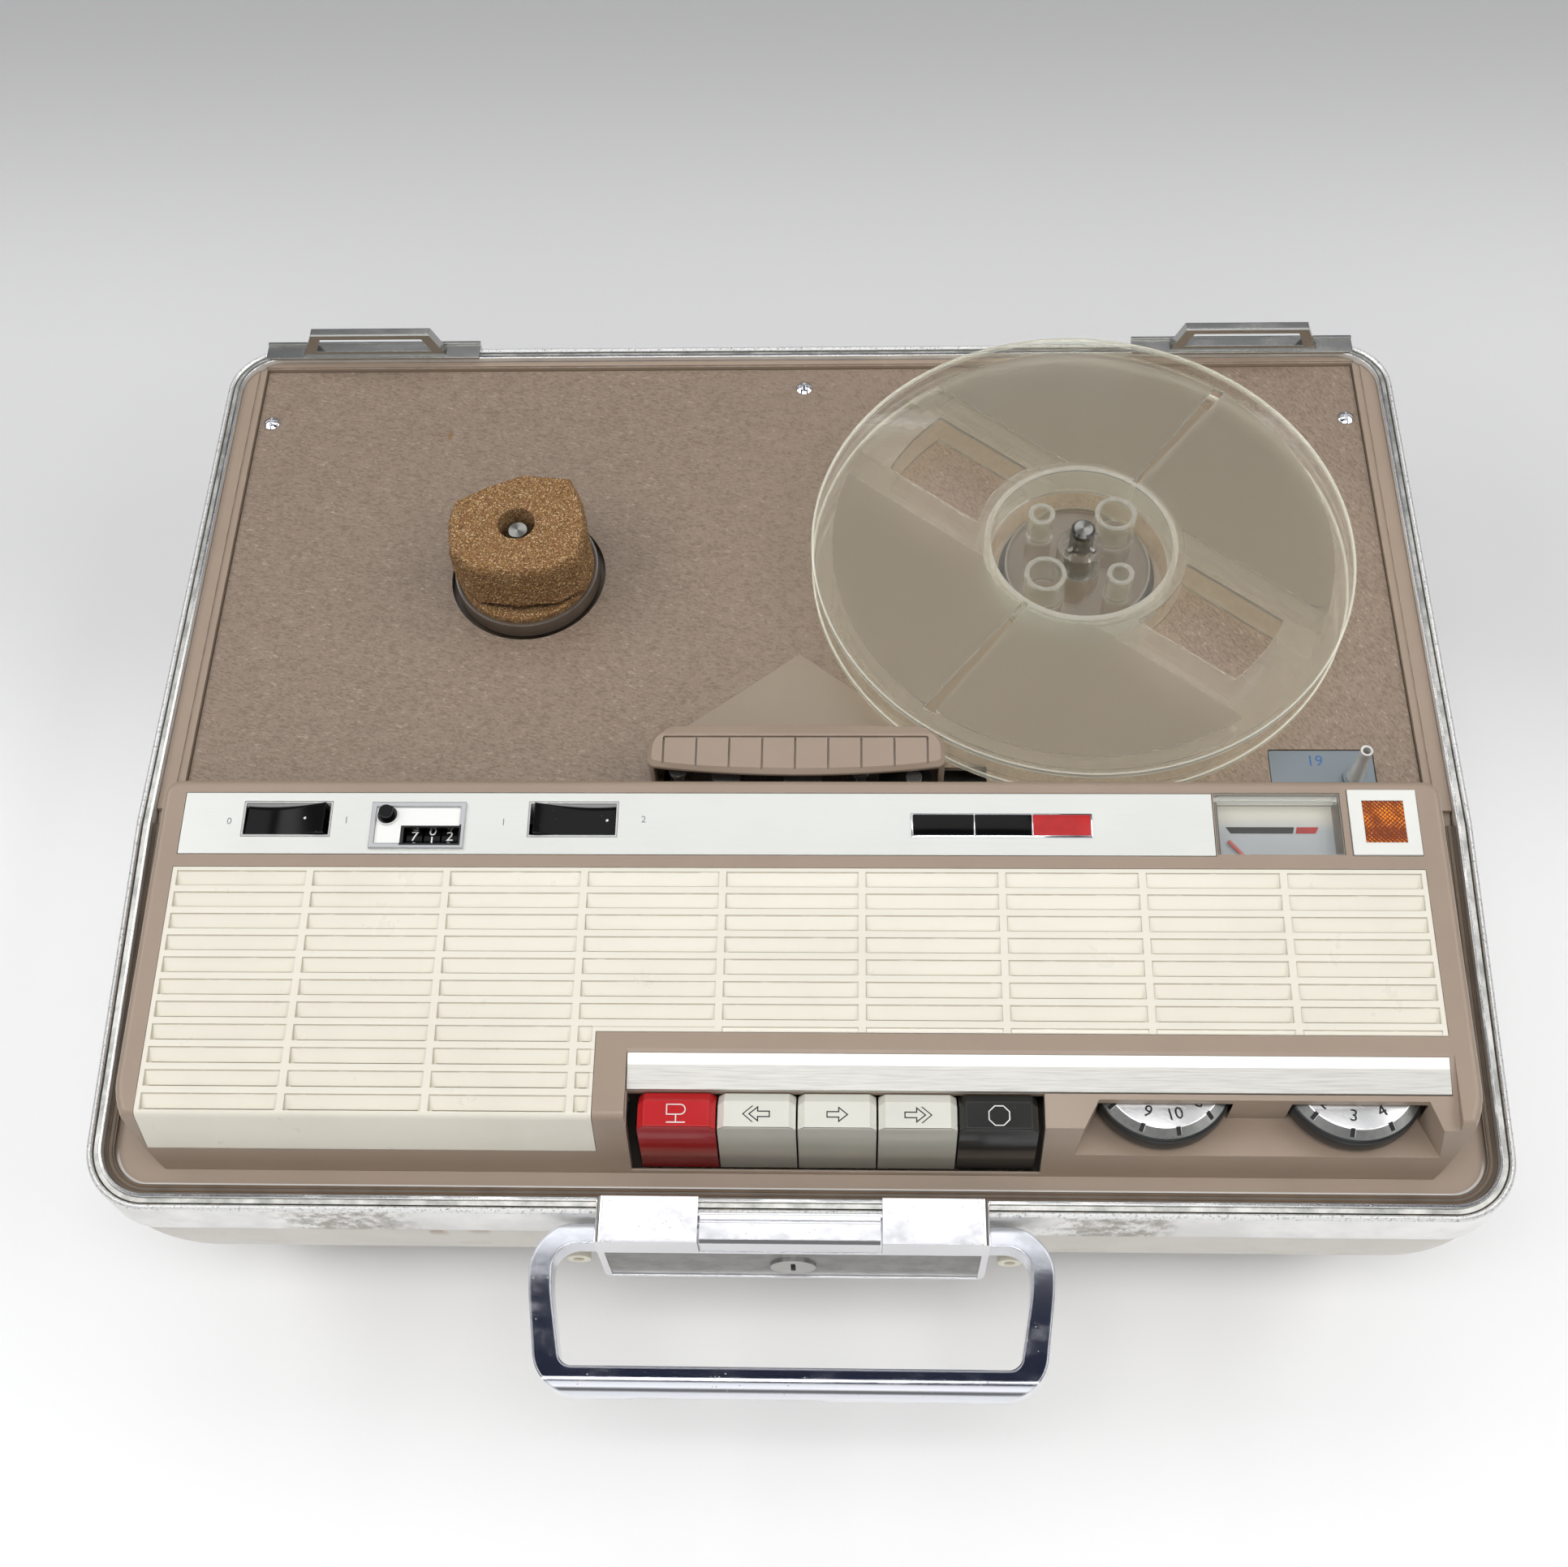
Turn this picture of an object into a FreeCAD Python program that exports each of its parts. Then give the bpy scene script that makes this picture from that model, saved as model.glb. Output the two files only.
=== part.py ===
import FreeCAD, Part
import math
import os

os.makedirs("parts", exist_ok=True)

# Portable reel-to-reel tape recorder, lid off, lying on its feet.
# Millimetres, +X right, +Y to the rear, +Z up.
# The origin is on the table under the middle of the whole object.
# Inside the script a place is given as (x, d, h): d is the distance forward of a line 1 mm behind the case,
# and h is the height above the rear rim.

# Driving sizes of the case
case_w = 417.0
case_d = 318.6
corner_r = 19.0
case_rear = 1.0
rear_y = 183.6
rim_z = 120.0
kink_d = 198.0
rim_slope = 0.128
rim_w = 4.8
band_h = 17.5
band_t = 1.5
wall = 3.0
foot_h = 6.0
straight_h = 35.0
taper = 0.00365
frame_front_inset = 7.6
floor_z = foot_h

# Deck
deck_h = -4.0
deck_t = 2.0
chassis_h = -20.0
chassis_t = 1.5
spindle_x = 92.7
spindle_d = 100.5
spindle_r = 3.97
spindle_top = 21.7
tip_bevel = 0.9
table_r = 24.2
table_top = 1.0
table_hole_r = 26.2

# Console
top_rear_d = 192.5
top_rear_h = 17.6
top_slope = 0.08
console_x = 194.7
console_front_d = 298.2
console_foot_d = 305.9
console_foot_h = -18.4
console_wall = 2.5
console_round = 2.5
console_corner_r = 22.0
console_rear_r = 5.0
label_d0 = 279.4
label_d1 = 289.5
section_d = 278.0
section_x0 = -47.2
section_x1 = 187.6
section_front_d = 299.5
section_front_h = 5.3

# Keys
key_pitch = 22.8
key_w = 22.2
key_x0 = -32.4
key_chamfer = 1.9
web_t = 1.8
web_inset = 1.8
key_pivot_d = 256.0
key_pivot_h = -6.0
key_shaft_r = 2.5
running_gap = 0.05

# Thumbwheels
dial_x = (106.3, 161.0)
dial_d = 280.8
dial_r = 21.0
dial_top = 3.2
dial_bottom = -5.0
dial_knurls = 60

# Tape transport
capstan_x = 36.5
capstan_d = 187.6
capstan_r = 2.5
flywheel_r = 38.0
motor_x = -50.0
motor_d = 186.0
pulley_r = 7.0
belt_h0 = -40.0
belt_h1 = -35.0
belt_t = 1.2
roller_r = 8.0
arm_pivot_x = 63.0
arm_pivot_d = 206.0
roller_x = 37.5
roller_d = 205.2

# Handle and lock
handle_h = -23.0
handle_d = 323.6
lock_front_d = 328.4


def vec(x, d, h):
    return FreeCAD.Vector(x, rear_y - d, rim_z + h)


def d_of(point):
    return rear_y - point.y


def h_of(point):
    return point.z - rim_z


def top_h(d):
    return top_rear_h - top_slope * (d - top_rear_d)


def rim_h(d):
    return -rim_slope * max(0.0, d - kink_d)


def section_h(d):
    rise = (top_h(section_d) - section_front_h) / (section_front_d - section_d)
    return top_h(section_d) - rise * (d - section_d)


def side_prism(points, x0, x1):
    # points are (d, h) in the side view
    corners = [vec(x0, d, h) for d, h in points]
    face = Part.Face(Part.makePolygon(corners + [corners[0]]))
    return face.extrude(FreeCAD.Vector(x1 - x0, 0, 0))


def plan_prism(points, h0, h1):
    # points are (x, d) in the plan view
    corners = [vec(x, d, h0) for x, d in points]
    face = Part.Face(Part.makePolygon(corners + [corners[0]]))
    return face.extrude(FreeCAD.Vector(0, 0, h1 - h0))


def front_prism(points, d0, d1):
    # points are (x, h) as seen from the front
    corners = [vec(x, d0, h) for x, h in points]
    face = Part.Face(Part.makePolygon(corners + [corners[0]]))
    return face.extrude(FreeCAD.Vector(0, d0 - d1, 0))


def block(x0, x1, d0, d1, h0, h1):
    corner = vec(x0, d1, h0)
    return Part.makeBox(x1 - x0, d1 - d0, h1 - h0, corner)


def rod(x, d, h0, h1, r):
    return Part.makeCylinder(r, h1 - h0, vec(x, d, h0), FreeCAD.Vector(0, 0, 1))


def cone(x, d, h0, h1, r0, r1):
    return Part.makeCone(r0, r1, h1 - h0, vec(x, d, h0), FreeCAD.Vector(0, 0, 1))


def rod_x(x0, x1, d, h, r):
    return Part.makeCylinder(r, x1 - x0, vec(x0, d, h), FreeCAD.Vector(1, 0, 0))


def rod_y(x, d0, d1, h, r):
    # runs forward from d0 to d1
    return Part.makeCylinder(r, d1 - d0, vec(x, d0, h), FreeCAD.Vector(0, -1, 0))


def rounded_wire(x0, x1, d0, d1, r, h):
    # a rounded rectangle in plan
    points = []
    centres = ((x1 - r, d0 + r, 0), (x0 + r, d0 + r, 90), (x0 + r, d1 - r, 180), (x1 - r, d1 - r, 270))
    for cx, cd, start in centres:
        row = []
        for step in (0, 45, 90):
            a = math.radians(start + step)
            row.append(vec(cx + r * math.cos(a), cd - r * math.sin(a), h))
        points.append(row)
    edges = []
    for i in range(4):
        edges.append(Part.Arc(*points[i]).toShape())
        edges.append(Part.LineSegment(points[i][2], points[(i + 1) % 4][0]).toShape())
    return Part.Wire(edges)


def rounded_plate(x0, x1, d0, d1, r, h0, h1):
    return Part.Face(rounded_wire(x0, x1, d0, d1, r, h0)).extrude(FreeCAD.Vector(0, 0, h1 - h0))


def top_slab(x0, x1, d0, d1, above, below):
    # space along the console's sloping top, from above it to below it
    rear = top_h(d0)
    front = top_h(d1)
    points = [(d0, rear + above), (d1, front + above), (d1, front - below), (d0, rear - below)]
    return side_prism(points, x0, x1)


def rim_slab(above, below):
    # space along the rim's top, which is level at the rear and slopes down to the front
    rear = -60.0
    front = case_d + 60.0
    points = [(rear, above), (kink_d, above), (front, rim_h(front) + above)]
    points += [(front, rim_h(front) - below), (kink_d, -below), (rear, -below)]
    return side_prism(points, -case_w, case_w)


def case_prism(inset, h0, h1, front_inset=None):
    front = inset if front_inset is None else front_inset
    half = case_w / 2 - inset
    r = max(corner_r - inset, 8.0)
    return rounded_plate(-half, half, case_rear + inset, case_d - front, r, h0, h1)


def fuse(shapes):
    result = shapes[0]
    if len(shapes) > 1:
        result = result.fuse(shapes[1:])
    return result.removeSplitter()


def save(name, shape):
    bad = [s for s in shape.Solids if not s.isValid() or s.Volume < 0.5]
    shape.exportStep("parts/" + name + ".step")
    print(name, "solids", len(shape.Solids), "volume", round(shape.Volume), "bad" if bad else "")


# Case

def shell_inset(z):
    # the moulded shell is upright under the band and curves inward towards the base
    drop = max(0.0, (rim_z - straight_h) - z)
    return band_t + taper * drop * drop


def shell_body(extra, base_z):
    # solid tub of the shell's outline, drawn in by extra on every side
    heights = [base_z, base_z + 8.0, 26.0, 40.0, 55.0, 70.0, rim_z - straight_h]
    wires = []
    for z in heights:
        inset = shell_inset(z)
        if z < base_z + 1.0:
            inset = inset + 4.5
        r = corner_r - band_t + 0.25 * (inset - band_t) - extra
        inset = inset + extra
        half = case_w / 2 - inset
        wires.append(rounded_wire(-half, half, case_rear + inset, case_d - inset, r, z - rim_z))
    lower = Part.makeLoft(wires, True, False)
    inset = band_t + extra
    half = case_w / 2 - inset
    upper = rounded_plate(-half, half, case_rear + inset, case_d - inset, corner_r - inset, -straight_h, 10.0)
    return lower.fuse(upper)


battery_x0 = -139.0
battery_x1 = -1.0
battery_d0 = 30.0
battery_d1 = 157.0
battery_top = 46.0
bay_wall = 2.0
door_travel = 14.0
door_lap = 4.0
door_gap = 0.4
door_recess = 1.6
foot_x = 158.0
foot_d = (52.0, 268.0)
pillars = ((-foot_x, foot_d[0]), (foot_x, foot_d[0]), (-168.0, 176.0), (172.0, 176.0))
boss_h = 22.0
foot_screw_r = 1.6
socket_d0 = 70.0
socket_d1 = 140.0
socket_z0 = 58.0
socket_z1 = 86.0
buffer_x = (-63.4, 63.8)
buffer_h = -36.8
buffer_r = 3.6
buffer_stem_r = 2.4


def make_bottom_shell():
    outer = shell_body(0.0, floor_z)
    inner = shell_body(wall, floor_z + wall)
    shell = outer.cut(inner)
    shell = shell.cut(rim_slab(60.0, 3.0))
    parts = [shell]
    ground = floor_z - rim_z
    for x, d in pillars:
        parts.append(rod(x, d, ground + 1.0, chassis_h, 5.0))
    for x in (-foot_x, foot_x):
        parts.append(rod(x, foot_d[1], ground + 1.0, ground + boss_h, 5.0))
    x0, x1, d0, d1 = battery_x0, battery_x1, battery_d0, battery_d1
    bay_top = battery_top - rim_z
    parts.append(block(x0 - bay_wall, x1 + bay_wall, d0 - bay_wall, d1 + bay_wall, ground + 1.0, bay_top))
    shell = parts[0].fuse(parts[1:])
    shell = shell.cut(block(x0, x1, d0, d1, ground - 1.0, bay_top - bay_wall))
    lap = door_lap
    front = d1 + lap + door_travel
    shell = shell.cut(block(x0 - lap, x1 + lap, d0 - lap, front, ground - 1.0, ground + door_recess))
    window = block(150, case_w / 2 + 5, socket_d0, socket_d1, socket_z0 - rim_z, socket_z1 - rim_z)
    shell = shell.cut(window)
    for x in (-foot_x, foot_x):
        for d in foot_d:
            shell = shell.cut(rod(x, d, ground - 1.0, ground + 9.0, foot_screw_r))
    for x in buffer_x:
        shell = shell.cut(rod_y(x, case_d - 12.0, case_d + 2.0, buffer_h, buffer_stem_r))
    return shell.removeSplitter()


def make_battery_cover():
    ground = floor_z - rim_z
    lap = door_lap - door_gap
    top = ground + 1.4
    plate = block(battery_x0 - lap, battery_x1 + lap, battery_d0 - lap, battery_d1 + lap, ground, top)
    ribs = [plate]
    for i in range(5):
        d = battery_d0 + 12 + i * 3.0
        ribs.append(block(-95, -45, d, d + 1.2, ground - 0.6, ground + 0.2))
    return fuse(ribs)


bead_w = 1.8
groove_w = 0.4
groove_depth = 1.1
channel_w = 1.5
channel_depth = 0.7
front_strip_depth = 2.0


def make_rim_band():
    # an extruded band with a bead, a groove, a shallow channel and a lip on top, and a plain skirt outside
    outer = case_prism(0.0, -60.0, 5.0)
    flange = outer.cut(case_prism(rim_w, -60.0, 5.0)).common(rim_slab(0.0, 3.0))
    skirt = outer.cut(case_prism(band_t, -60.0, 5.0)).common(rim_slab(-2.0, band_h))
    band = flange.fuse(skirt)
    channel_end = bead_w + groove_w + channel_w
    groove = case_prism(bead_w, -60.0, 5.0).cut(case_prism(bead_w + groove_w, -60.0, 5.0))
    channel = case_prism(bead_w, -60.0, 5.0).cut(case_prism(channel_end, -60.0, 5.0))
    groove = groove.common(rim_slab(1.0, groove_depth))
    channel = channel.common(rim_slab(1.0, channel_depth))
    band = band.cut([groove, channel])
    # low strip that closes the gap to the deck frame's ledge at the front
    strip = case_prism(rim_w - 0.4, -60.0, 5.0).cut(case_prism(rim_w, -60.0, 5.0, frame_front_inset - 0.1))
    strip = strip.common(rim_slab(-front_strip_depth, 3.0))
    return band.fuse(strip).removeSplitter()


def make_rubber_feet():
    feet = []
    ground = -rim_z
    for x in (-foot_x, foot_x):
        for d in foot_d:
            foot = cone(x, d, ground, ground + foot_h, 9.0, 11.0)
            foot = foot.cut(rod(x, d, ground - 1.0, ground + 4.5, 3.6))
            feet.append(foot.cut(rod(x, d, ground, ground + foot_h + 1.0, foot_screw_r)))
    return Part.makeCompound(feet)


deck_screws = ((-191.4, 33.0), (191.4, 33.0), (0.0, 18.0))


def make_screws():
    screws = []
    for x, d in deck_screws:
        ball = Part.makeSphere(4.6, vec(x, d, deck_h - 3.0))
        head = ball.common(rod(x, d, deck_h, deck_h + 4.0, 2.9))
        stem = rod(x, d, chassis_h + chassis_t, deck_h + 0.2, 1.45)
        screw = head.fuse(stem)
        for cut in (block(x - 1.9, x + 1.9, d - 0.35, d + 0.35, deck_h + 0.7, deck_h + 3),
                    block(x - 0.35, x + 0.35, d - 1.9, d + 1.9, deck_h + 0.7, deck_h + 3)):
            screw = screw.cut(cut)
        screws.append(screw.removeSplitter())
    for x in (-foot_x, foot_x):
        for d in foot_d:
            head = rod(x, d, 2.5 - rim_z, 4.5 - rim_z, 3.2)
            stem = rod(x, d, 4.4 - rim_z, 14.0 - rim_z, foot_screw_r)
            screws.append(fuse([head, stem]))
    return Part.makeCompound(screws)


# Deck

frame_inner_x = 196.4
frame_inner_d0 = 8.4
frame_gap = 0.2
frame_drop = 2.0
ledge_drop = 3.8
ledge_round = 1.5
step_x = 198.8
step_drop = 2.6


def make_deck_frame():
    # a moulded surround, with a rounded ledge in front of the console
    outer = case_prism(rim_w + frame_gap, -40.0, 20.0, frame_front_inset)
    rear_part = outer.common(rim_slab(-frame_drop, 12.0))
    rear_part = rear_part.common(block(-300, 300, -10, top_rear_d, -60, 20))
    front_part = outer.common(rim_slab(-ledge_drop, 12.0))
    front_part = front_part.common(block(-300, 300, top_rear_d, 400, -60, 20))
    ledge_d = case_d - frame_front_inset
    lip = []
    for e in front_part.Edges:
        level = all(abs(h_of(v.Point) - rim_h(d_of(v.Point)) + ledge_drop) < 0.05 for v in e.Vertexes)
        if level and d_of(e.CenterOfMass) > ledge_d - 8.0:
            lip.append(e)
    front_part = front_part.makeFillet(ledge_round, lip)
    frame = rear_part.fuse(front_part)
    hole = block(-frame_inner_x, frame_inner_x, frame_inner_d0, 205.0, -60.0, 20.0)
    frame = frame.cut(hole)
    under_console = rounded_plate(-192.0, 192.0, 196.0, console_foot_d - 1.1, 14.0, -80.0, 20.0)
    frame = frame.cut(under_console)
    step = block(-step_x, step_x, frame_inner_d0 - 0.4, top_rear_d, -step_drop, 5.0)
    return frame.cut(step).removeSplitter()


def make_deck_plate():
    plate = block(-196.0, 196.0, 8.8, 195.6, deck_h - deck_t, deck_h)
    cuts = []
    for x in (-spindle_x, spindle_x):
        cuts.append(rod(x, spindle_d, -20, 5, table_hole_r))
    for x, d in deck_screws:
        cuts.append(rod(x, d, -20, 5, 1.7))
    cuts.append(block(-42.5, 60.0, 176.0, 200.0, -20, 5))
    cuts.append(block(175.5 - 2.5, 175.5 + 2.5, 177.5, 182.5, -20, 5))
    plate = plate.cut(cuts)
    recess = rounded_plate(149.4, 182.6, 169.2, 200.0, 1.0, deck_h - 0.9, 5.0)
    return plate.cut(recess).removeSplitter()


def make_chassis_plate():
    plate = block(-190.0, 190.0, 14.0, 196.0, chassis_h, chassis_h + chassis_t)
    tab = block(-6.0, 120.0, 196.0, 246.0, chassis_h, chassis_h + chassis_t)
    motor_tab = block(-78.0, -6.0, 196.0, 216.0, chassis_h, chassis_h + chassis_t)
    shapes = [plate, tab, motor_tab]
    for x, d in deck_screws:
        shapes.append(rod(x * 0.985, d, chassis_h + 0.5, deck_h - deck_t, 4.2))
    for x, d in ((-186.0, 185.0), (186.0, 160.0), (0.0, 120.0)):
        shapes.append(rod(x, d, chassis_h + 0.5, deck_h - deck_t, 3.5))
    plate = shapes[0].fuse(shapes[1:])
    cuts = [rod(capstan_x, capstan_d, -60, 5, 7.0)]
    for x in (-spindle_x, spindle_x):
        cuts.append(rod(x, spindle_d, -60, 5, 6.0))
    for x, d in deck_screws:
        cuts.append(rod(x, d, chassis_h + chassis_t, 5, 1.45))
    plate = plate.cut(cuts)
    bearing = rod(capstan_x, capstan_d, -27.0, -14.0, 7.0)
    bearings = [bearing.cut(rod(capstan_x, capstan_d, -30, 5, capstan_r + running_gap))]
    for x in (-spindle_x, spindle_x):
        bush = rod(x, spindle_d, -30.0, -17.5, 6.0).cut(rod(x, spindle_d, -40, 5, spindle_r + running_gap))
        bearings.append(bush)
    bearings.append(rod(arm_pivot_x, arm_pivot_d, chassis_h + 0.5, -3.0, 2.0))
    for angle in (90, 210, 330):
        x = motor_x + 21.0 * math.cos(math.radians(angle))
        d = motor_d + 21.0 * math.sin(math.radians(angle))
        bearings.append(rod(x, d, -50.0, chassis_h + 0.5, 2.0))
    plate = plate.fuse(bearings)
    return plate.removeSplitter()


# Console

def console_solid(inset):
    # the console's outer block, drawn in by inset on the top, sides, rear and front
    lean = (console_foot_d - console_front_d) / (top_h(console_front_d) - console_foot_h)
    foot_h = -30.0
    foot_d = console_foot_d + lean * (console_foot_h - foot_h)
    half = console_x - inset
    rear = top_rear_d + inset
    points = [(rear, top_h(rear) - inset)]
    points.append((console_front_d - inset, top_h(console_front_d - inset) - inset))
    points.append((foot_d - inset, foot_h))
    points.append((rear, foot_h))
    body = side_prism(points, -half, half)
    # in plan the front corners are rounder than the rear ones
    reach = console_foot_d + 3.5 - inset
    front_plan = rounded_plate(-half, half, top_rear_d, reach, console_corner_r - inset, -60.0, 40.0)
    rear_plan = rounded_plate(-half, half, rear, 260.0, console_rear_r, -60.0, 40.0)
    front_half = front_plan.common(block(-300, 300, 230.0, 400.0, -60, 40))
    rear_half = rear_plan.common(block(-300, 300, 150.0, 230.0, -60, 40))
    body = body.common(front_half.fuse(rear_half)).removeSplitter()
    if inset > 0.0:
        return body
    top_edges = []
    for e in body.Edges:
        if all(abs(h_of(v.Point) - top_h(d_of(v.Point))) < 0.02 for v in e.Vertexes):
            top_edges.append(e)
    return body.makeFillet(console_round, top_edges)


grille_x0 = -187.7
grille_x1 = 186.8
grille_d0 = 222.0
grille_d1 = 273.2
grille_left_x1 = -56.3
grille_foot_h = -7.2


def front_d(h):
    # where the leaning front wall is at height h
    lean = (console_foot_d - console_front_d) / (top_h(console_front_d) - console_foot_h)
    return console_front_d + lean * (top_h(console_front_d) - h)


def grille_region(gap, thickness):
    # the L-shaped insert: a band across the top and a left part that runs down the front
    band = top_slab(grille_x0 + gap, grille_x1 - gap, grille_d0 + gap, grille_d1 - gap, 0.0, thickness)
    d1 = console_front_d
    left = top_slab(grille_x0 + gap, grille_left_x1 - gap, grille_d0 + gap, d1, 0.0, thickness)
    rear = d1 - thickness
    low = grille_foot_h + gap
    foot = front_d(low)
    points = [(rear, top_h(rear)), (d1, top_h(d1)), (foot, low), (foot - thickness, low)]
    front = side_prism(points, grille_x0 + gap, grille_left_x1 - gap)
    region = band.fuse([left, front]).removeSplitter()
    ridge = []
    for e in region.Edges:
        if all(abs(d_of(v.Point) - d1) < 0.01 and abs(h_of(v.Point) - top_h(d1)) < 0.01 for v in e.Vertexes):
            ridge.append(e)
    return region.makeFillet(console_round, ridge)


pocket_rear_d = 291.4
pocket_floor_h = -7.0
pocket_rear_x = (87.3, 179.8)
pocket_front_x = (79.8, 185.6)
key_hole_x = (-46.9, 71.9)
key_hole_d = 289.6
sill_h = -16.2
grille_lip = 4.0
# holes through the top for the two rockers, the counter, the meter and the lamp
top_windows = ((-169.5, -140.5, 199.6, 213.0), (-82.5, -52.0, 199.6, 213.0), (-127.8, -100.8, 201.8, 215.6),
               (126.2, 164.0, 197.2, 217.4), (169.0, 183.6, 199.0, 215.0))


def make_console_housing():
    outer = console_solid(0.0).cut(block(-300, 300, 150, 400, -80, -22.0))
    outer = outer.common(rim_slab(60.0, 3.8))
    # the steeper section over the keys, and its inner side
    edge = section_front_d + 12.0
    edge_h = section_h(edge)
    points = [(section_d, top_h(section_d)), (edge, edge_h), (edge, 40.0), (section_d, 40.0)]
    section = side_prism(points, section_x0, section_x1)
    inner = console_solid(console_wall)
    points = [(section_d - 2.0, top_h(section_d) - console_wall - 0.1), (edge, edge_h - console_wall)]
    points += [(edge, 40.0), (section_d - 2.0, 40.0)]
    inner = inner.cut(side_prism(points, section_x0 - console_wall, section_x1 + console_wall))
    housing = outer.cut(section).cut(inner)
    # thumbwheel pocket with a back wall and a floor
    trapezoid = [(pocket_rear_x[0], pocket_rear_d), (pocket_rear_x[1], pocket_rear_d),
                 (pocket_front_x[1], 305.0), (pocket_front_x[0], 305.0)]
    t = 2.0
    liner = [(pocket_rear_x[0] - t, pocket_rear_d - t), (pocket_rear_x[1] + t, pocket_rear_d - t),
             (pocket_front_x[1] + t, 305.0), (pocket_front_x[0] - t, 305.0)]
    liner_block = plan_prism(liner, pocket_floor_h - t, 8.0).common(console_solid(0.5))
    liner_block = liner_block.cut(section)
    housing = housing.fuse(liner_block)
    pocket = plan_prism(trapezoid, pocket_floor_h, 30.0)
    housing = housing.cut(pocket)
    for x in dial_x:
        slot = rod(x, dial_d, pocket_floor_h, 4.6, dial_r + 0.8)
        housing = housing.cut(slot)
    # grille opening
    housing = housing.cut(grille_region(0.0, console_wall + 1.0))
    # ledge that the grille rests on
    lip = grille_lip
    spans = ((grille_x0 - 1, grille_x1 + 1, grille_d0 - 0.5, grille_d0 + lip),
             (grille_left_x1 - 1, grille_x1 + 1, grille_d1 - lip, grille_d1 + 0.5),
             (grille_x0 - 1, grille_x0 + lip, grille_d0 + 2, 290.0),
             (grille_x1 - lip, grille_x1 + 1, grille_d0 + 2, grille_d1 - 2),
             (grille_left_x1 - lip, grille_left_x1 + 1, grille_d1 - lip, 290.0))
    ledges = []
    for x0, x1, d0, d1 in spans:
        ledges.append(top_slab(x0, x1, d0, d1, -console_wall, 2 * console_wall))
    housing = housing.fuse(ledges)
    # strip, meter and lamp openings
    cuts = [top_slab(-187.2, 125.8, 197.4, 218.0, 5.0, 1.0)]
    for x0, x1, d0, d1 in top_windows:
        cuts.append(top_slab(x0, x1, d0, d1, 5.0, 8.0))
    cuts.append(top_slab(166.0, 186.7, 196.2, 217.8, 5.0, 1.2))
    # seat of the label strip
    d0 = label_d0 - 0.2
    d1 = label_d1 + 0.3
    points = [(d0, section_h(d0) - 1.0), (d1, section_h(d1) - 1.0), (d1, 30.0), (d0, 30.0)]
    cuts.append(side_prism(points, section_x0 + 0.1, 186.2))
    # key opening
    cuts.append(block(key_hole_x[0], key_hole_x[1], key_hole_d, 320.0, sill_h, 30.0))
    cuts.append(block(key_hole_x[0], key_hole_x[1], key_hole_d, console_foot_d - 1.2, -40.0, sill_h + 1))
    # notch for the pinch roller behind the tape slot
    cuts.append(block(28.0, 49.0, top_rear_d - 2, top_rear_d + 6, -40.0, 11.0))
    housing = housing.cut(cuts)
    # ears that carry the key shaft, and webs with a shelf that carries the volume and tone controls
    extras = []
    for x, top in ((-50.4, top_h(288.0) - 1.5), (74.6, section_h(288.0) - 1.5)):
        outline = [(250.0, -12.0), (250.0, -1.0), (270.0, 4.0), (276.0, top_h(276.0) - 1.5), (288.0, top)]
        outline += [(288.0, -6.0), (266.0, -12.0)]
        ear = side_prism(outline, x, x + 3.0)
        extras.append(ear.cut(rod_x(x - 1, x + 4, key_pivot_d, key_pivot_h, key_shaft_r)))
    for x in (83.0, 182.0):
        extras.append(block(x, x + 2.0, 262.0, 290.0, -17.0, section_h(290.0) - 1.5))
    extras.append(block(83.0, 184.0, 262.0, 290.0, -19.0, -17.0))
    housing = housing.fuse(extras)
    # room under the top for the meter movement
    housing = housing.cut(top_slab(126.0, 164.2, 217.0, 232.6, -console_wall, 20.0))
    return housing.removeSplitter()


columns = 9
row_pitch = 6.87
row_depth = 4.8
first_row_d = 223.4
left_rows = 11
band_rows = 8
column_gap = 2.2
column_margin = 1.6
cell_rear_depth = 0.25
cell_front_depth = 1.9
slot_w = 0.8


def make_speaker_grille():
    # rows of slanting cells, each with a sound slot along its deep front edge
    plate = grille_region(0.15, console_wall)
    cells = []
    cell_w = (grille_x1 - grille_x0 - 2 * column_margin - (columns - 1) * column_gap) / columns
    for column in range(columns):
        x0 = grille_x0 + column_margin + column * (cell_w + column_gap)
        rows = left_rows if x0 < grille_left_x1 else band_rows
        for row in range(rows):
            d0 = first_row_d + row * row_pitch
            d1 = d0 + row_depth
            x1 = x0 + cell_w
            whole = d1 < grille_d1 - 1.0
            if x1 > grille_left_x1 and not whole:
                # the band's last row is cut short by its front edge, and the left part's by the key section
                if x0 < grille_left_x1 - 4.0:
                    x1 = grille_left_x1 - 1.2
                else:
                    d1 = grille_d1 - 0.4
            depth = cell_front_depth * (d1 - d0) / row_depth
            rear_h = top_h(d0)
            front_h = top_h(d1)
            face = [(d0, rear_h + 2), (d1, front_h + 2), (d1, front_h - depth)]
            face.append((d0, rear_h - cell_rear_depth))
            cells.append(side_prism(face, x0, x1))
            if d1 - d0 > 4.0:
                cells.append(block(x0 + 1.0, x1 - 1.0, d1 - slot_w, d1, -20.0, 30.0))
    plate = plate.cut(cells)
    # posts under the plate that carry the speaker
    posts = []
    for x in (-172.0, -68.0):
        for d in (232.0, 284.0):
            posts.append(rod(x, d, 0.0, top_h(d) - 2.2, 3.0))
    return plate.fuse(posts).removeSplitter()


rocker_centres = ((-154.9, 206.3), (-67.3, 206.3))
rocker_half = 12.4
rocker_tilt = 7.0


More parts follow.
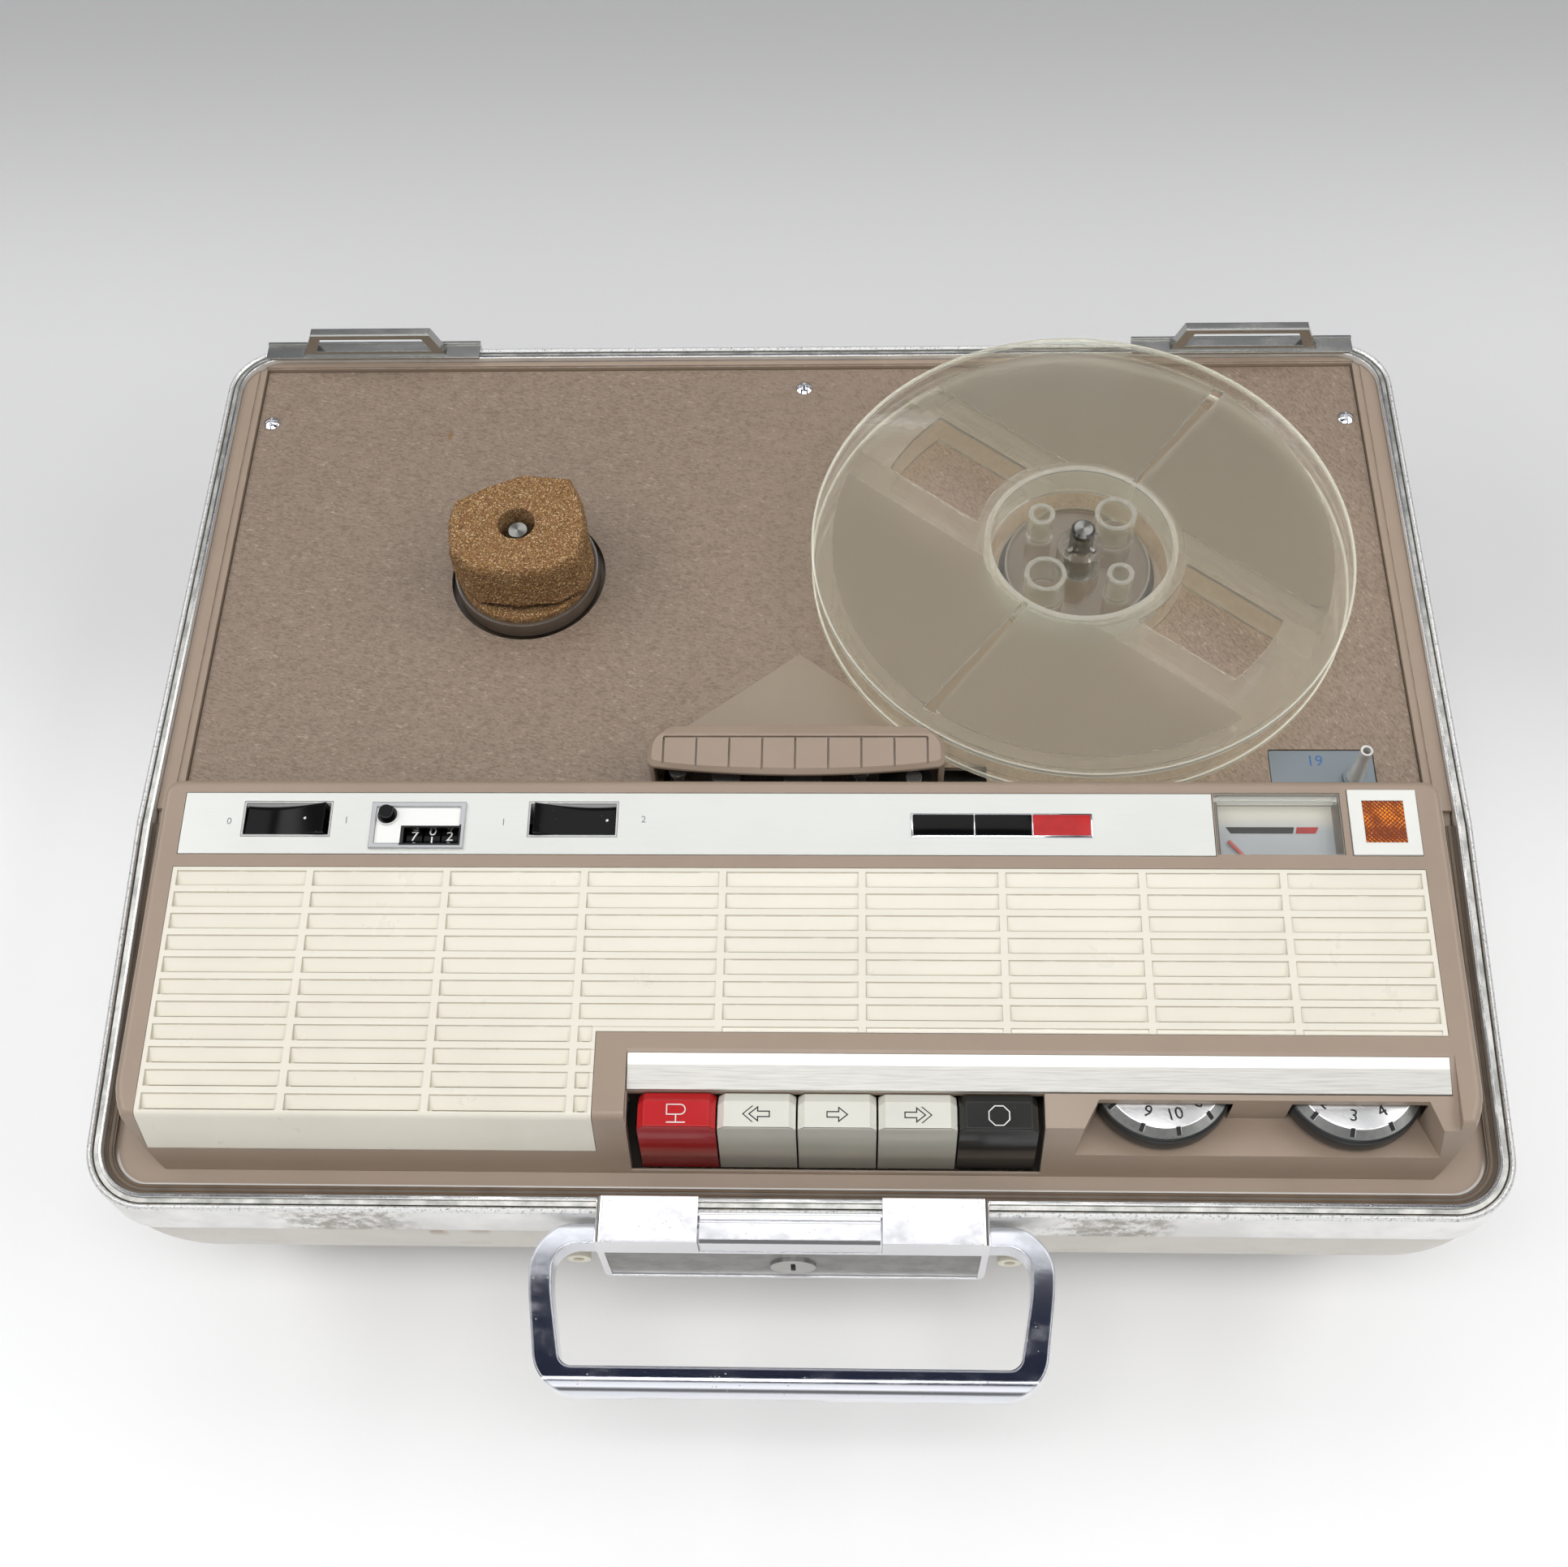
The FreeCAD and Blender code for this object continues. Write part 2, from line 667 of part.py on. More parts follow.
def make_control_strip():
    strip = top_slab(-187.0, 125.6, 197.6, 217.8, 0.0, 1.0)
    cuts = []
    for x, d in rocker_centres:
        cuts.append(top_slab(x - 13.7, x + 13.7, d - 5.9, d + 5.9, 3.0, 3.0))
    cuts.append(top_slab(-127.8, -100.8, 201.8, 215.6, 3.0, 3.0))
    return strip.cut(cuts).removeSplitter()


def make_rocker_switches():
    frames = []
    for x, d in rocker_centres:
        box = top_slab(x - 13.6, x + 13.6, d - 5.8, d + 5.8, 0.0, 14.0)
        well = top_slab(x - 13.1, x + 13.1, d - 5.2, d + 5.2, 3.0, 12.0)
        box = box.cut(well)
        pin_h = top_h(d) - 4.5
        box = box.cut(rod_y(x, d - 5.7, d + 5.7, pin_h, 1.05))
        frames.append(box.removeSplitter())
    return Part.makeCompound(frames)


def make_rocker(centre, sign):
    # a black paddle with a dished top, resting with one end up
    x, d = centre
    pin_h = top_h(d) - 4.5
    top = 4.6
    left = vec(x - rocker_half, d - 5.0, pin_h + top)
    middle = vec(x, d - 5.0, pin_h + top - 1.6)
    right = vec(x + rocker_half, d - 5.0, pin_h + top)
    low = 3.4
    lower = [vec(x + rocker_half, d - 5.0, pin_h + 1.2), vec(x + 3.0, d - 5.0, pin_h - low),
             vec(x - 3.0, d - 5.0, pin_h - low), vec(x - rocker_half, d - 5.0, pin_h + 1.2)]
    edges = [Part.Arc(left, middle, right).toShape()]
    ring = [right] + lower + [left]
    for a, b in zip(ring[:-1], ring[1:]):
        edges.append(Part.LineSegment(a, b).toShape())
    body = Part.Face(Part.Wire(edges)).extrude(FreeCAD.Vector(0, -10.0, 0))
    pins = rod_y(x, d - 5.6, d + 5.6, pin_h, 1.0)
    body = body.fuse(pins).removeSplitter()
    body.rotate(vec(x, d, pin_h), FreeCAD.Vector(0, 1, 0), -sign * rocker_tilt)
    return body


counter_x0 = -128.9
counter_x1 = -100.1
counter_d0 = 201.1
counter_d1 = 216.2
wheel_r = 6.2
wheel_d = 211.9
wheel_h = top_h(wheel_d) - 7.9
wheel_x = (-115.6, -110.2, -104.8)
reset_x = -124.0
reset_d = 205.3


def make_counter_frame():
    rim = top_slab(counter_x0, counter_x1, counter_d0, counter_d1, 0.9, 0.0)
    rim = rim.cut(top_slab(counter_x0 + 1.5, counter_x1 - 1.5, counter_d0 + 1.5, counter_d1 - 1.5, 3.0, 1.0))
    plate = top_slab(-127.6, -101.0, 202.0, 215.4, 0.2, 1.4)
    plate = plate.cut([top_slab(-118.6, -101.7, 209.2, 215.0, 3.0, 3.0), rod(reset_x, reset_d, 0, 30, 2.2)])
    cheeks = []
    for x in (-119.9, -101.9):
        cheeks.append(block(x, x + 0.9, 206.0, 214.8, wheel_h - 4.0, top_h(214.8) - 0.2))
    shaft = rod_x(-119.9, -101.0, wheel_d, wheel_h, 1.4)
    tube = rod(reset_x, reset_d, 1.0, top_h(reset_d) - 0.5, 3.1).cut(rod(reset_x, reset_d, 0, 30, 2.6))
    ring = rod(reset_x, reset_d, top_h(reset_d) - 0.8, top_h(reset_d) + 0.8, 3.3)
    ring = ring.cut(rod(reset_x, reset_d, 0, 30, 2.2))
    return fuse([rim, plate, shaft, tube, ring] + cheeks)


def make_counter_wheel(x):
    wheel = rod_x(x - 2.4, x + 2.4, wheel_d, wheel_h, wheel_r)
    return wheel.cut(rod_x(x - 3, x + 3, wheel_d, wheel_h, 1.4 + running_gap))


def make_reset_button():
    cap = rod(reset_x, reset_d, 4.0, top_h(reset_d) + 3.4, 2.1)
    collar = rod(reset_x, reset_d, 12.0, 14.9, 2.5)
    return fuse([cap, collar])


meter_x0 = 126.4
meter_x1 = 163.8
meter_d0 = 197.4
meter_d1 = 217.2
needle_x = 144.6
needle_d = 226.4
needle_len = 21.2
needle_angle = 41.0
scale_depth = 6.0


def make_meter_case():
    case = top_slab(meter_x0, meter_x1, meter_d0, meter_d1, -2.4, 14.0)
    case = case.fuse(top_slab(meter_x0, meter_x1, meter_d1 - 1, 232.0, -2.7, 14.0))
    well = top_slab(meter_x0 + 1.2, meter_x1 - 1.2, meter_d0 + 1.2, meter_d1 - 1.0, 3.0, scale_depth)
    well = well.fuse(top_slab(meter_x0 + 1.2, meter_x1 - 1.2, meter_d0 + 4, 231.0, -3.7, scale_depth))
    pivot = FreeCAD.Vector(0, top_slope, -1.0).normalize()
    case = case.cut(well)
    bearing_h = top_h(needle_d) - scale_depth + 1.0
    bearing = Part.makeCylinder(0.85, 3.0, vec(needle_x, needle_d, bearing_h), pivot)
    return case.cut(bearing).removeSplitter()


def make_meter_lens():
    lens = top_slab(meter_x0 + 0.1, meter_x1 - 0.1, meter_d0 + 0.1, meter_d1, -0.2, 2.4)
    ridge = top_slab(meter_x0 + 1.0, meter_x1 - 1.0, meter_d0 + 1.2, meter_d0 + 3.4, 0.3, 1.0)
    return fuse([lens, ridge])


def make_meter_needle():
    normal = FreeCAD.Vector(0, -top_slope, 1.0).normalize()
    base = vec(needle_x, needle_d, top_h(needle_d) - scale_depth + 0.5)
    hub = Part.makeCylinder(1.3, 0.9, base, normal)
    staff = Part.makeCylinder(0.8, 2.2, base - normal * 1.9, normal)
    arm_h = top_h(needle_d) - scale_depth + 0.75
    slope_h = top_slope * needle_len
    points = [(needle_d, arm_h), (needle_d - needle_len, arm_h + slope_h),
              (needle_d - needle_len, arm_h + slope_h + 0.4), (needle_d, arm_h + 0.4)]
    arm = side_prism(points, needle_x - 0.45, needle_x + 0.45)
    tail = side_prism([(needle_d + 3.5, arm_h - 0.28), (needle_d, arm_h), (needle_d, arm_h + 0.4),
                       (needle_d + 3.5, arm_h + 0.12)], needle_x - 0.8, needle_x + 0.8)
    needle = fuse([hub, staff, arm, tail])
    needle.rotate(base, normal, needle_angle)
    return needle


def make_lamp_bezel():
    bezel = top_slab(166.2, 186.5, 196.4, 217.6, 0.5, 1.2)
    bezel = bezel.fuse(top_slab(169.2, 183.4, 199.2, 214.8, -1.0, 5.0))
    return bezel.cut(top_slab(170.2, 182.5, 199.9, 213.6, 3.0, 12.0)).removeSplitter()


def make_lamp_lens():
    lens = top_slab(170.4, 182.3, 200.1, 213.4, -1.0, 3.0)
    cuts = []
    for i in range(7):
        x = 170.4 + 1.7 * (i + 0.5)
        cuts.append(top_slab(x - 0.15, x + 0.15, 199.0, 215.0, 0.0, 1.4))
    return lens.cut(cuts).removeSplitter()


def make_label_strip():
    rear_h = section_h(label_d0)
    front_h = section_h(label_d1)
    points = [(label_d0, rear_h - 1.0), (label_d0, rear_h + 0.4)]
    points += [(label_d1, front_h + 0.4), (label_d1, front_h - 1.0)]
    return side_prism(points, section_x0 + 0.3, 186.0)


# Keys

def make_key(index):
    x = key_x0 + index * key_pitch
    half = key_w / 2
    # side view of the cap: rear lip, sloping top, leaning front, and back along the inside
    outside = [(289.9, 6.4), (293.2, 9.2), (300.7, 8.6), (304.3, -15.6)]
    inside = [(301.4, -15.6), (298.2, 5.6), (294.0, 6.2), (291.0, 3.0)]
    body = side_prism([(289.9, 3.0)] + outside + inside, x - half, x + half)
    outer = []
    for e in body.Edges:
        along_side = abs(e.Length - key_w) > 1.0
        spots = [(d_of(v.Point), h_of(v.Point)) for v in e.Vertexes]
        if along_side and all(min(math.dist(spot, c) for c in outside) < 0.01 for spot in spots):
            outer.append(e)
    body = body.makeChamfer(key_chamfer, outer)
    sides = []
    web = [(289.9, 0.0), (289.9, 6.0), (293.6, 8.2), (299.4, 7.8)]
    web += [(302.4, -12.0), (299.0, -12.0), (292.0, 0.0)]
    for side in (x - half + web_inset, x + half - web_inset - web_t):
        sides.append(side_prism(web, side, side + web_t))
    lever = [(key_pivot_d, key_pivot_h - 3.0), (key_pivot_d, key_pivot_h + 3.0), (280.0, 1.5), (292.0, 4.6)]
    lever += [(295.0, 6.4), (295.0, 0.0), (280.0, -4.5)]
    bar = side_prism(lever, x - 4.0, x + 4.0)
    hub = rod_x(x - 7.0, x + 7.0, key_pivot_d, key_pivot_h, 4.6)
    key = fuse([body, bar, hub] + sides)
    bore = rod_x(x - 9.0, x + 9.0, key_pivot_d, key_pivot_h, key_shaft_r + running_gap)
    return key.cut(bore).removeSplitter()


def make_key_shaft():
    return rod_x(-52.0, 79.2, key_pivot_d, key_pivot_h, key_shaft_r)


spring_wire_r = 0.4
spring_coil_r = 3.6
spring_turns = 4
spring_pitch = 1.3


def biarc(p0, t0, p1, t1):
    # two arcs that leave p0 along t0 and reach p1 along t1
    v = p1 - p0
    t = t0 + t1
    across = 2.0 * (1.0 - t0.dot(t1))
    reach = (-v.dot(t) + math.sqrt(v.dot(t) ** 2 + across * v.dot(v))) / across
    q0 = p0 + t0 * reach
    q1 = p1 - t1 * reach
    joint = (q0 + q1) * 0.5
    edges = []
    for a, q, b in ((p0, q0, joint), (joint, q1, p1)):
        m = (a + b) * 0.5
        phi = math.acos(min(1.0, (b - a).Length / 2.0 / (q - a).Length))
        middle = m + (q - m) * (math.tan(phi / 2.0) / math.tan(phi))
        edges.append(Part.Arc(a, middle, b).toShape())
    return edges


def make_key_springs():
    # short return coils round the key shaft, one beside each key's hub
    springs = []
    steps = spring_turns * 4
    rise = spring_pitch / 4.0
    arc_rise = spring_pitch / (2.0 * math.pi)
    for index in range(5):
        start = vec(key_x0 + index * key_pitch + 8.0, key_pivot_d, key_pivot_h)
        points = []
        tangents = []
        for i in range(steps + 1):
            a = i * math.pi / 2.0
            across = spring_coil_r * math.cos(a)
            up = spring_coil_r * math.sin(a)
            points.append(start + FreeCAD.Vector(i * rise, across, up))
            tangents.append(FreeCAD.Vector(arc_rise, -up, across).normalize())
        edges = []
        for i in range(steps):
            edges += biarc(points[i], tangents[i], points[i + 1], tangents[i + 1])
        path = Part.Wire(edges)
        circle = Part.Wire([Part.Circle(points[0], tangents[0], spring_wire_r).toShape()])
        pipe = path.makePipeShell([circle], True, False)
        springs.append(pipe)
        if index == 0:
            expected = math.pi * spring_wire_r ** 2 * path.Length
            print("spring volume", round(pipe.Volume, 3), "expected", round(expected, 3))
            print("least gap between turns", round(spring_pitch - 2 * spring_wire_r, 2))
    return Part.makeCompound(springs)


# Volume and tone

def make_dial(x):
    rim = rod(x, dial_d, dial_bottom, 1.5, dial_r)
    slope = cone(x, dial_d, 1.5, dial_top, dial_r - 0.5, dial_r - 3.8)
    hub = rod(x, dial_d, dial_bottom - 1.5, dial_bottom + 1, 5.0)
    dial = fuse([rim, slope, hub])
    bore = rod(x, dial_d, dial_bottom - 3, 1.0, 3.0)
    cuts = [bore]
    reach = dial_r + 0.15
    for i in range(dial_knurls):
        a = math.radians(i * 360.0 / dial_knurls)
        cuts.append(rod(x + reach * math.cos(a), dial_d + reach * math.sin(a), dial_bottom - 1, 1.6, 0.45))
    return dial.cut(cuts).removeSplitter()


def make_potentiometers():
    pots = []
    for x in dial_x:
        can = rod(x, dial_d, -17.0, -7.5, 8.2)
        shaft = rod(x, dial_d, -8.0, 0.8, 2.95)
        pots.append(fuse([can, shaft]))
    return Part.makeCompound(pots)


# Heads and transport

cover_half = 46.0
cover_rear = 173.6
cover_ends = 186.6
cover_front = 189.6
cover_top = 17.4
cover_corner_r = 8.0
cover_front_r = 2.5
cover_rear_bow = 0.8
cover_bevel = 1.5
panels = 8
panels_x0 = -41.0
panels_x1 = 40.6
panels_d0 = 177.0
plate_t = 0.8


def make_head_cover():
    h0 = deck_h + plate_t
    half = cover_half
    corners = ((-half, cover_rear), (half, cover_rear), (half, cover_ends), (-half, cover_ends))
    base = [vec(x, d, h0) for x, d in corners]
    edges = [Part.Arc(base[0], vec(0, cover_rear - cover_rear_bow, h0), base[1]).toShape()]
    edges.append(Part.LineSegment(base[1], base[2]).toShape())
    edges.append(Part.Arc(base[2], vec(0, cover_front, h0), base[3]).toShape())
    edges.append(Part.LineSegment(base[3], base[0]).toShape())
    body = Part.Face(Part.Wire(edges)).extrude(FreeCAD.Vector(0, 0, cover_top - h0))
    for rear, r in ((True, cover_corner_r), (False, cover_front_r)):
        upright = []
        for e in body.Edges:
            tall = abs(e.Vertexes[0].Point.z - e.Vertexes[-1].Point.z) > 5.0
            at_rear = d_of(e.CenterOfMass) < cover_rear + 4.0
            at_front = d_of(e.CenterOfMass) > cover_ends - 1.0
            if tall and (at_rear if rear else at_front):
                upright.append(e)
        body = body.makeFillet(r, upright)
    # the top falls a little to the front, and its rear edge is eased
    front_h = cover_top - 1.0
    points = [(168.0, cover_top - 2.2), (cover_rear + 2.6, cover_top - 0.2), (190.0, front_h)]
    points += [(191.0, cover_top + 9.0), (168.0, cover_top + 9.0)]
    body = body.cut(side_prism(points, -60, 60))
    # a bevel runs along the top's front edge
    edges = [e for e in body.Edges if e.Length > cover_half and d_of(e.CenterOfMass) > cover_ends]
    body = body.makeChamfer(cover_bevel, [e for e in edges if h_of(e.CenterOfMass) > front_h - 0.5])
    inner_rear = cover_rear + 2.2
    inner = rounded_plate(-half + 2, half - 2, inner_rear, cover_front + 9.0, 6.5, h0 - 1, cover_top - 3.4)
    body = body.cut(inner)
    panel_w = (panels_x1 - panels_x0) / panels
    cuts = []
    for i in range(panels + 1):
        x = panels_x0 + i * panel_w
        cuts.append(block(x - 0.3, x + 0.3, panels_d0 + 0.4, 195.0, cover_top - 1.6, cover_top + 3))
    cuts.append(block(panels_x0, panels_x1, panels_d0, panels_d0 + 0.6, cover_top - 1.2, cover_top + 3))
    return body.cut(cuts).removeSplitter()


def make_head_plate():
    # smooth triangular plate that the head cover stands on
    right = [(43.0, 166.5), (45.0, 178.0), (45.0, 188.0)]
    left = [(-x, d) for x, d in reversed(right)]
    points = [(0.0, 133.0)] + right + left
    plate = plan_prism(points, deck_h, deck_h + plate_t)
    slot = block(-42.5, 42.5, 176.0, 190.0, deck_h - 1, deck_h + 3)
    return plate.cut(slot).removeSplitter()


def make_tape_heads():
    # erase head, record and play head, and two guide posts on the head bridge
    bridge = block(-41.0, 26.0, 174.6, 186.0, -8.0, -6.4)
    legs = []
    for x in (-39.0, -8.0, 22.0):
        legs.append(rod(x, 180.0, chassis_h + chassis_t, -7.0, 1.6))
    shapes = [bridge] + legs
    for x, w in ((-22.0, 9.0), (2.0, 12.0)):
        shapes.append(rounded_plate(x - w / 2, x + w / 2, 176.5, 187.4, 1.5, -6.6, 7.0))
    for x in (-37.0, 20.0):
        shapes.append(rod(x, 184.0, -6.6, 9.0, 1.8))
        shapes.append(rod(x, 184.0, 7.6, 9.0, 3.0))
        shapes.append(rod(x, 184.0, -1.6, 0.0, 3.0))
    return fuse(shapes)


def make_pinch_arm():
    h0 = -14.5
    h1 = -12.5
    dx = roller_x - arm_pivot_x
    dd = roller_d - arm_pivot_d
    length = math.hypot(dx, dd)
    nx = dd / length * 3.5
    nd = -dx / length * 3.5
    points = [(arm_pivot_x + nx, arm_pivot_d + nd), (roller_x + nx, roller_d + nd),
              (roller_x - nx, roller_d - nd), (arm_pivot_x - nx, arm_pivot_d - nd)]
    arm = plan_prism(points, h0, h1)
    boss = rod(arm_pivot_x, arm_pivot_d, h0, -6.0, 4.0)
    end = rod(roller_x, roller_d, h0, h1, 3.5)
    pin = rod(roller_x, roller_d, h1 - 0.5, 8.6, 1.5)
    arm = fuse([arm, boss, end, pin])
    return arm.cut(rod(arm_pivot_x, arm_pivot_d, h0 - 1, -2.0, 2.0 + running_gap)).removeSplitter()


def make_pinch_roller():
    roller = rod(roller_x, roller_d, -6.0, 8.0, roller_r)
    return roller.cut(rod(roller_x, roller_d, -9.0, 10.0, 1.5 + running_gap))


def make_capstan():
    shaft = rod(capstan_x, capstan_d, -52.0, 10.0, capstan_r)
    wheel = rod(capstan_x, capstan_d, -45.0, -31.0, flywheel_r)
    hollow = rod(capstan_x, capstan_d, -46.0, -40.0, flywheel_r - 7)
    hollow = hollow.cut(rod(capstan_x, capstan_d, -47.0, -39.0, 9.0))
    wheel = wheel.cut(hollow)
    return fuse([shaft, wheel])


def belt_loop(extra):
    # a closed loop round the motor pulley and the flywheel
    r0 = pulley_r + running_gap + extra
    r1 = flywheel_r + running_gap + extra
    dx = capstan_x - motor_x
    dd = capstan_d - motor_d
    length = math.hypot(dx, dd)
    ux = dx / length
    ud = dd / length
    lean = math.asin((r1 - r0) / length)

    def spot(cx, cd, r, angle):
        c = math.cos(angle)
        s = math.sin(angle)
        return vec(cx + r * (c * ux - s * ud), cd + r * (c * ud + s * ux), belt_h0)

    a = math.pi / 2 + lean
    p1 = spot(motor_x, motor_d, r0, a)
    p2 = spot(motor_x, motor_d, r0, math.pi)
    p3 = spot(motor_x, motor_d, r0, -a)
    q1 = spot(capstan_x, capstan_d, r1, -a)
    q2 = spot(capstan_x, capstan_d, r1, 0.0)
    q3 = spot(capstan_x, capstan_d, r1, a)
    edges = [Part.Arc(p1, p2, p3).toShape(), Part.LineSegment(p3, q1).toShape()]
    edges += [Part.Arc(q1, q2, q3).toShape(), Part.LineSegment(q3, p1).toShape()]
    return Part.Face(Part.Wire(edges)).extrude(FreeCAD.Vector(0, 0, belt_h1 - belt_h0))


def make_drive_belt():
    return belt_loop(belt_t).cut(belt_loop(0.0))


def make_motor():
    body = rod(motor_x, motor_d, -100.0, -52.0, 25.0)
    flange = rod(motor_x, motor_d, -52.0, -50.0, 27.0)
    neck = rod(motor_x, motor_d, -50.0, -48.0, 6.0)
    motor = fuse([body, flange, neck])
    return motor.cut(rod(motor_x, motor_d, -60.0, -40.0, 1.5 + running_gap)).removeSplitter()


def make_motor_pulley():
    wheel = rod(motor_x, motor_d, belt_h0 - 1, belt_h1 + 1, pulley_r)
    lips = [rod(motor_x, motor_d, belt_h0 - 3.4, belt_h0 - 1, pulley_r + 1.5)]
    lips.append(rod(motor_x, motor_d, belt_h1 + 1, belt_h1 + 3, pulley_r + 1.5))
    shaft = rod(motor_x, motor_d, -58.0, belt_h1 + 3, 1.5)
    return fuse([wheel, shaft] + lips)


def make_reel_table(x):
    top = rod(x, spindle_d, -5.0, table_top, table_r)
    hub = rod(x, spindle_d, -16.5, -4.0, 11.0)
    drive = rod(x, spindle_d, -14.0, -9.0, 31.0)
    table = fuse([top, hub, drive])
    groove = rod(x, spindle_d, -12.3, -10.7, 33.0).cut(rod(x, spindle_d, -13, -10, 29.6))
    recess = rod(x, spindle_d, table_top - 0.4, table_top + 1, table_r - 1.0)
    bore = rod(x, spindle_d, -20.0, 5.0, spindle_r)
    return table.cut([groove, recess, bore]).removeSplitter()


def make_spindle(x):
    # steel spindle with a turned, bevelled top and three splines
    shoulder = spindle_top - tip_bevel
    shaft = rod(x, spindle_d, -32.0, shoulder, spindle_r)
    tip = cone(x, spindle_d, shoulder, spindle_top, spindle_r, spindle_r - tip_bevel)
    splines = []
    reach = spindle_d - spindle_r - 1.1
    for angle in (90, 210, 330):
        spline = block(x - 0.75, x + 0.75, reach, spindle_d - 2.0, 3.0, spindle_top - 9.0)
        spline.rotate(vec(x, spindle_d, 0), FreeCAD.Vector(0, 0, 1), angle - 90)
        splines.append(spline)
    return fuse([shaft, tip] + splines)


reel_r = 88.9
reel_low = table_top + 0.2
reel_top = 14.0
flange_t = 1.4
band_angle = 141.7
field_r = 82.0
field_corner = 4.0
band_half = 24.5


def reel_point(r, angle):
    a = math.radians(angle)
    return (spindle_x + r * math.cos(a), spindle_d - r * math.sin(a))


def make_tape_reel():
    x = spindle_x
    d = spindle_d
    lower = rod(x, d, reel_low, reel_low + flange_t, reel_r)
    upper = rod(x, d, reel_top - flange_t, reel_top, reel_r).cut(rod(x, d, 0, 20, 29.8))
    barrel = rod(x, d, reel_low, reel_top - 0.3, 31.6).cut(rod(x, d, reel_low + flange_t, 20, 29.8))
    bead = rod(x, d, reel_top - 0.2, reel_top + 0.5, 33.6).cut(rod(x, d, 0, 20, 29.8))
    rims = [rod(x, d, reel_top - 0.1, reel_top + 0.5, reel_r).cut(rod(x, d, 0, 20, reel_r - 2.0))]
    rims.append(rod(x, d, reel_low, reel_low + flange_t + 0.4, reel_r).cut(rod(x, d, 0, 20, reel_r - 2.0)))
    reel = lower.fuse([upper, barrel, bead] + rims)
    # raised D-shaped fields on both sides of the middle band
    fields = rod(x, d, reel_top - 0.1, reel_top + 0.5, field_r).cut(rod(x, d, 0, 20, 33.0))
    strip = block(x - 120, x + 120, d - band_half, d + band_half, -5, 25)
    strip.rotate(vec(x, d, 0), FreeCAD.Vector(0, 0, 1), band_angle)
    fields = fields.cut(strip)
    ends = []
    for e in fields.Edges:
        spot = e.CenterOfMass
        upright = abs(e.Vertexes[0].Point.z - e.Vertexes[-1].Point.z) > 0.4
        if upright and len(e.Vertexes) == 2 and math.dist((spot.x, d_of(spot)), (x, d)) > field_r - 1.0:
            ends.append(e)
    reel = reel.fuse(fields.makeFillet(field_corner, ends))
    # windows through both flanges
    ring = rod(x, d, -5, 25, 70.0).cut(rod(x, d, -6, 26, 35.0))
    window = block(x - 120, x + 120, d - 14.2, d + 14.2, -6, 26)
    window.rotate(vec(x, d, 0), FreeCAD.Vector(0, 0, 1), band_angle)
    reel = reel.cut(ring.common(window))
    # threading slots from the hub towards the edge
    slots = []
    for side in (0, 180):
        wedge = [(x + 31, d - 1.0), (x + 83, d - 2.2), (x + 83, d + 2.2), (x + 31, d + 1.0)]
        slot = plan_prism(wedge, 3.5, 25)
        slot.rotate(vec(x, d, 0), FreeCAD.Vector(0, 0, 1), band_angle - 90 + side)
        slots.append(slot)
    reel = reel.cut(slots)
    bosses = []
    for k in range(4):
        px, pd = reel_point(17.3, 45.0 + 90.0 * k)
        outer_r = 6.9 if k % 2 == 0 else 4.4
        inner_r = 5.4 if k % 2 == 0 else 2.9
        low = reel_low + 0.4
        boss = rod(px, pd, low, reel_top - 0.6, outer_r).cut(rod(px, pd, low + 1.2, 20, inner_r))
        bosses.append(boss)
    core = rod(x, d, reel_low, reel_top - 1.6, 7.6)
    reel = reel.fuse(bosses + [core])
    bore = rod(x, d, -5, 25, spindle_r + 0.15)
    keyways = []
    for angle in (90, 210, 330):
        keyway = block(x - 1.2, x + 1.2, d - spindle_r - 1.6, d, -5, 25)
        keyway.rotate(vec(x, d, 0), FreeCAD.Vector(0, 0, 1), angle - 90)
        keyways.append(keyway)
    return reel.cut([bore] + keyways).removeSplitter()


foam_outline = ((0.0, 22.0), (16.5, 20.4), (20.6, 12.0), (23.4, 0.0), (21.6, -13.0), (13.0, -18.6),
                (0.0, -20.2), (-14.0, -18.2), (-22.0, -10.0), (-23.6, 3.0), (-22.4, 10.6), (-12.0, 17.0))


def make_foam_ring():
    # a soft sponge ring that stands on the left reel table
    disc = rod(-spindle_x, spindle_d, table_top - 0.4, 3.2, 22.8)
    points = [(-spindle_x + px, spindle_d - py) for px, py in foam_outline]
    ring = plan_prism(points, 3.0, 25.0)
    ring = ring.fuse(disc)
    return ring.cut(rod(-spindle_x, spindle_d, -10, 30, 6.2)).removeSplitter()


def make_speed_plate():
    plate = rounded_plate(149.7, 182.3, 169.5, 192.0, 0.8, deck_h - 0.9, deck_h - 0.3)
    ring = rod(175.5, 180.0, deck_h - 0.4, deck_h + 1.2, 3.7)
    post = rod(175.5, 180.0, chassis_h + chassis_t, 6.0, 1.2)
    return fuse([plate, ring, post])


def make_capstan_sleeve():
    body = cone(175.5, 180.0, deck_h + 1.2, 9.5, 2.6, 1.75)
    head = rod(175.5, 180.0, 9.5, 13.4, 1.9)
    sleeve = fuse([body, head])
    return sleeve.cut(rod(175.5, 180.0, -10, 20, 1.22)).removeSplitter()


# Lid hinges, lock and handle

hinge_spans = ((-196.3, -118.3), (117.8, 196.3))
hinge_rear = -0.9
hinge_front = 6.4
hinge_plate_h = 0.9
loop_d0 = 1.6
loop_d1 = 5.3
loop_top = 11.6
loop_low_half = 26.4
loop_high_half = 21.4
loop_side = 4.0
slot_low = 3.2
slot_high = 9.3


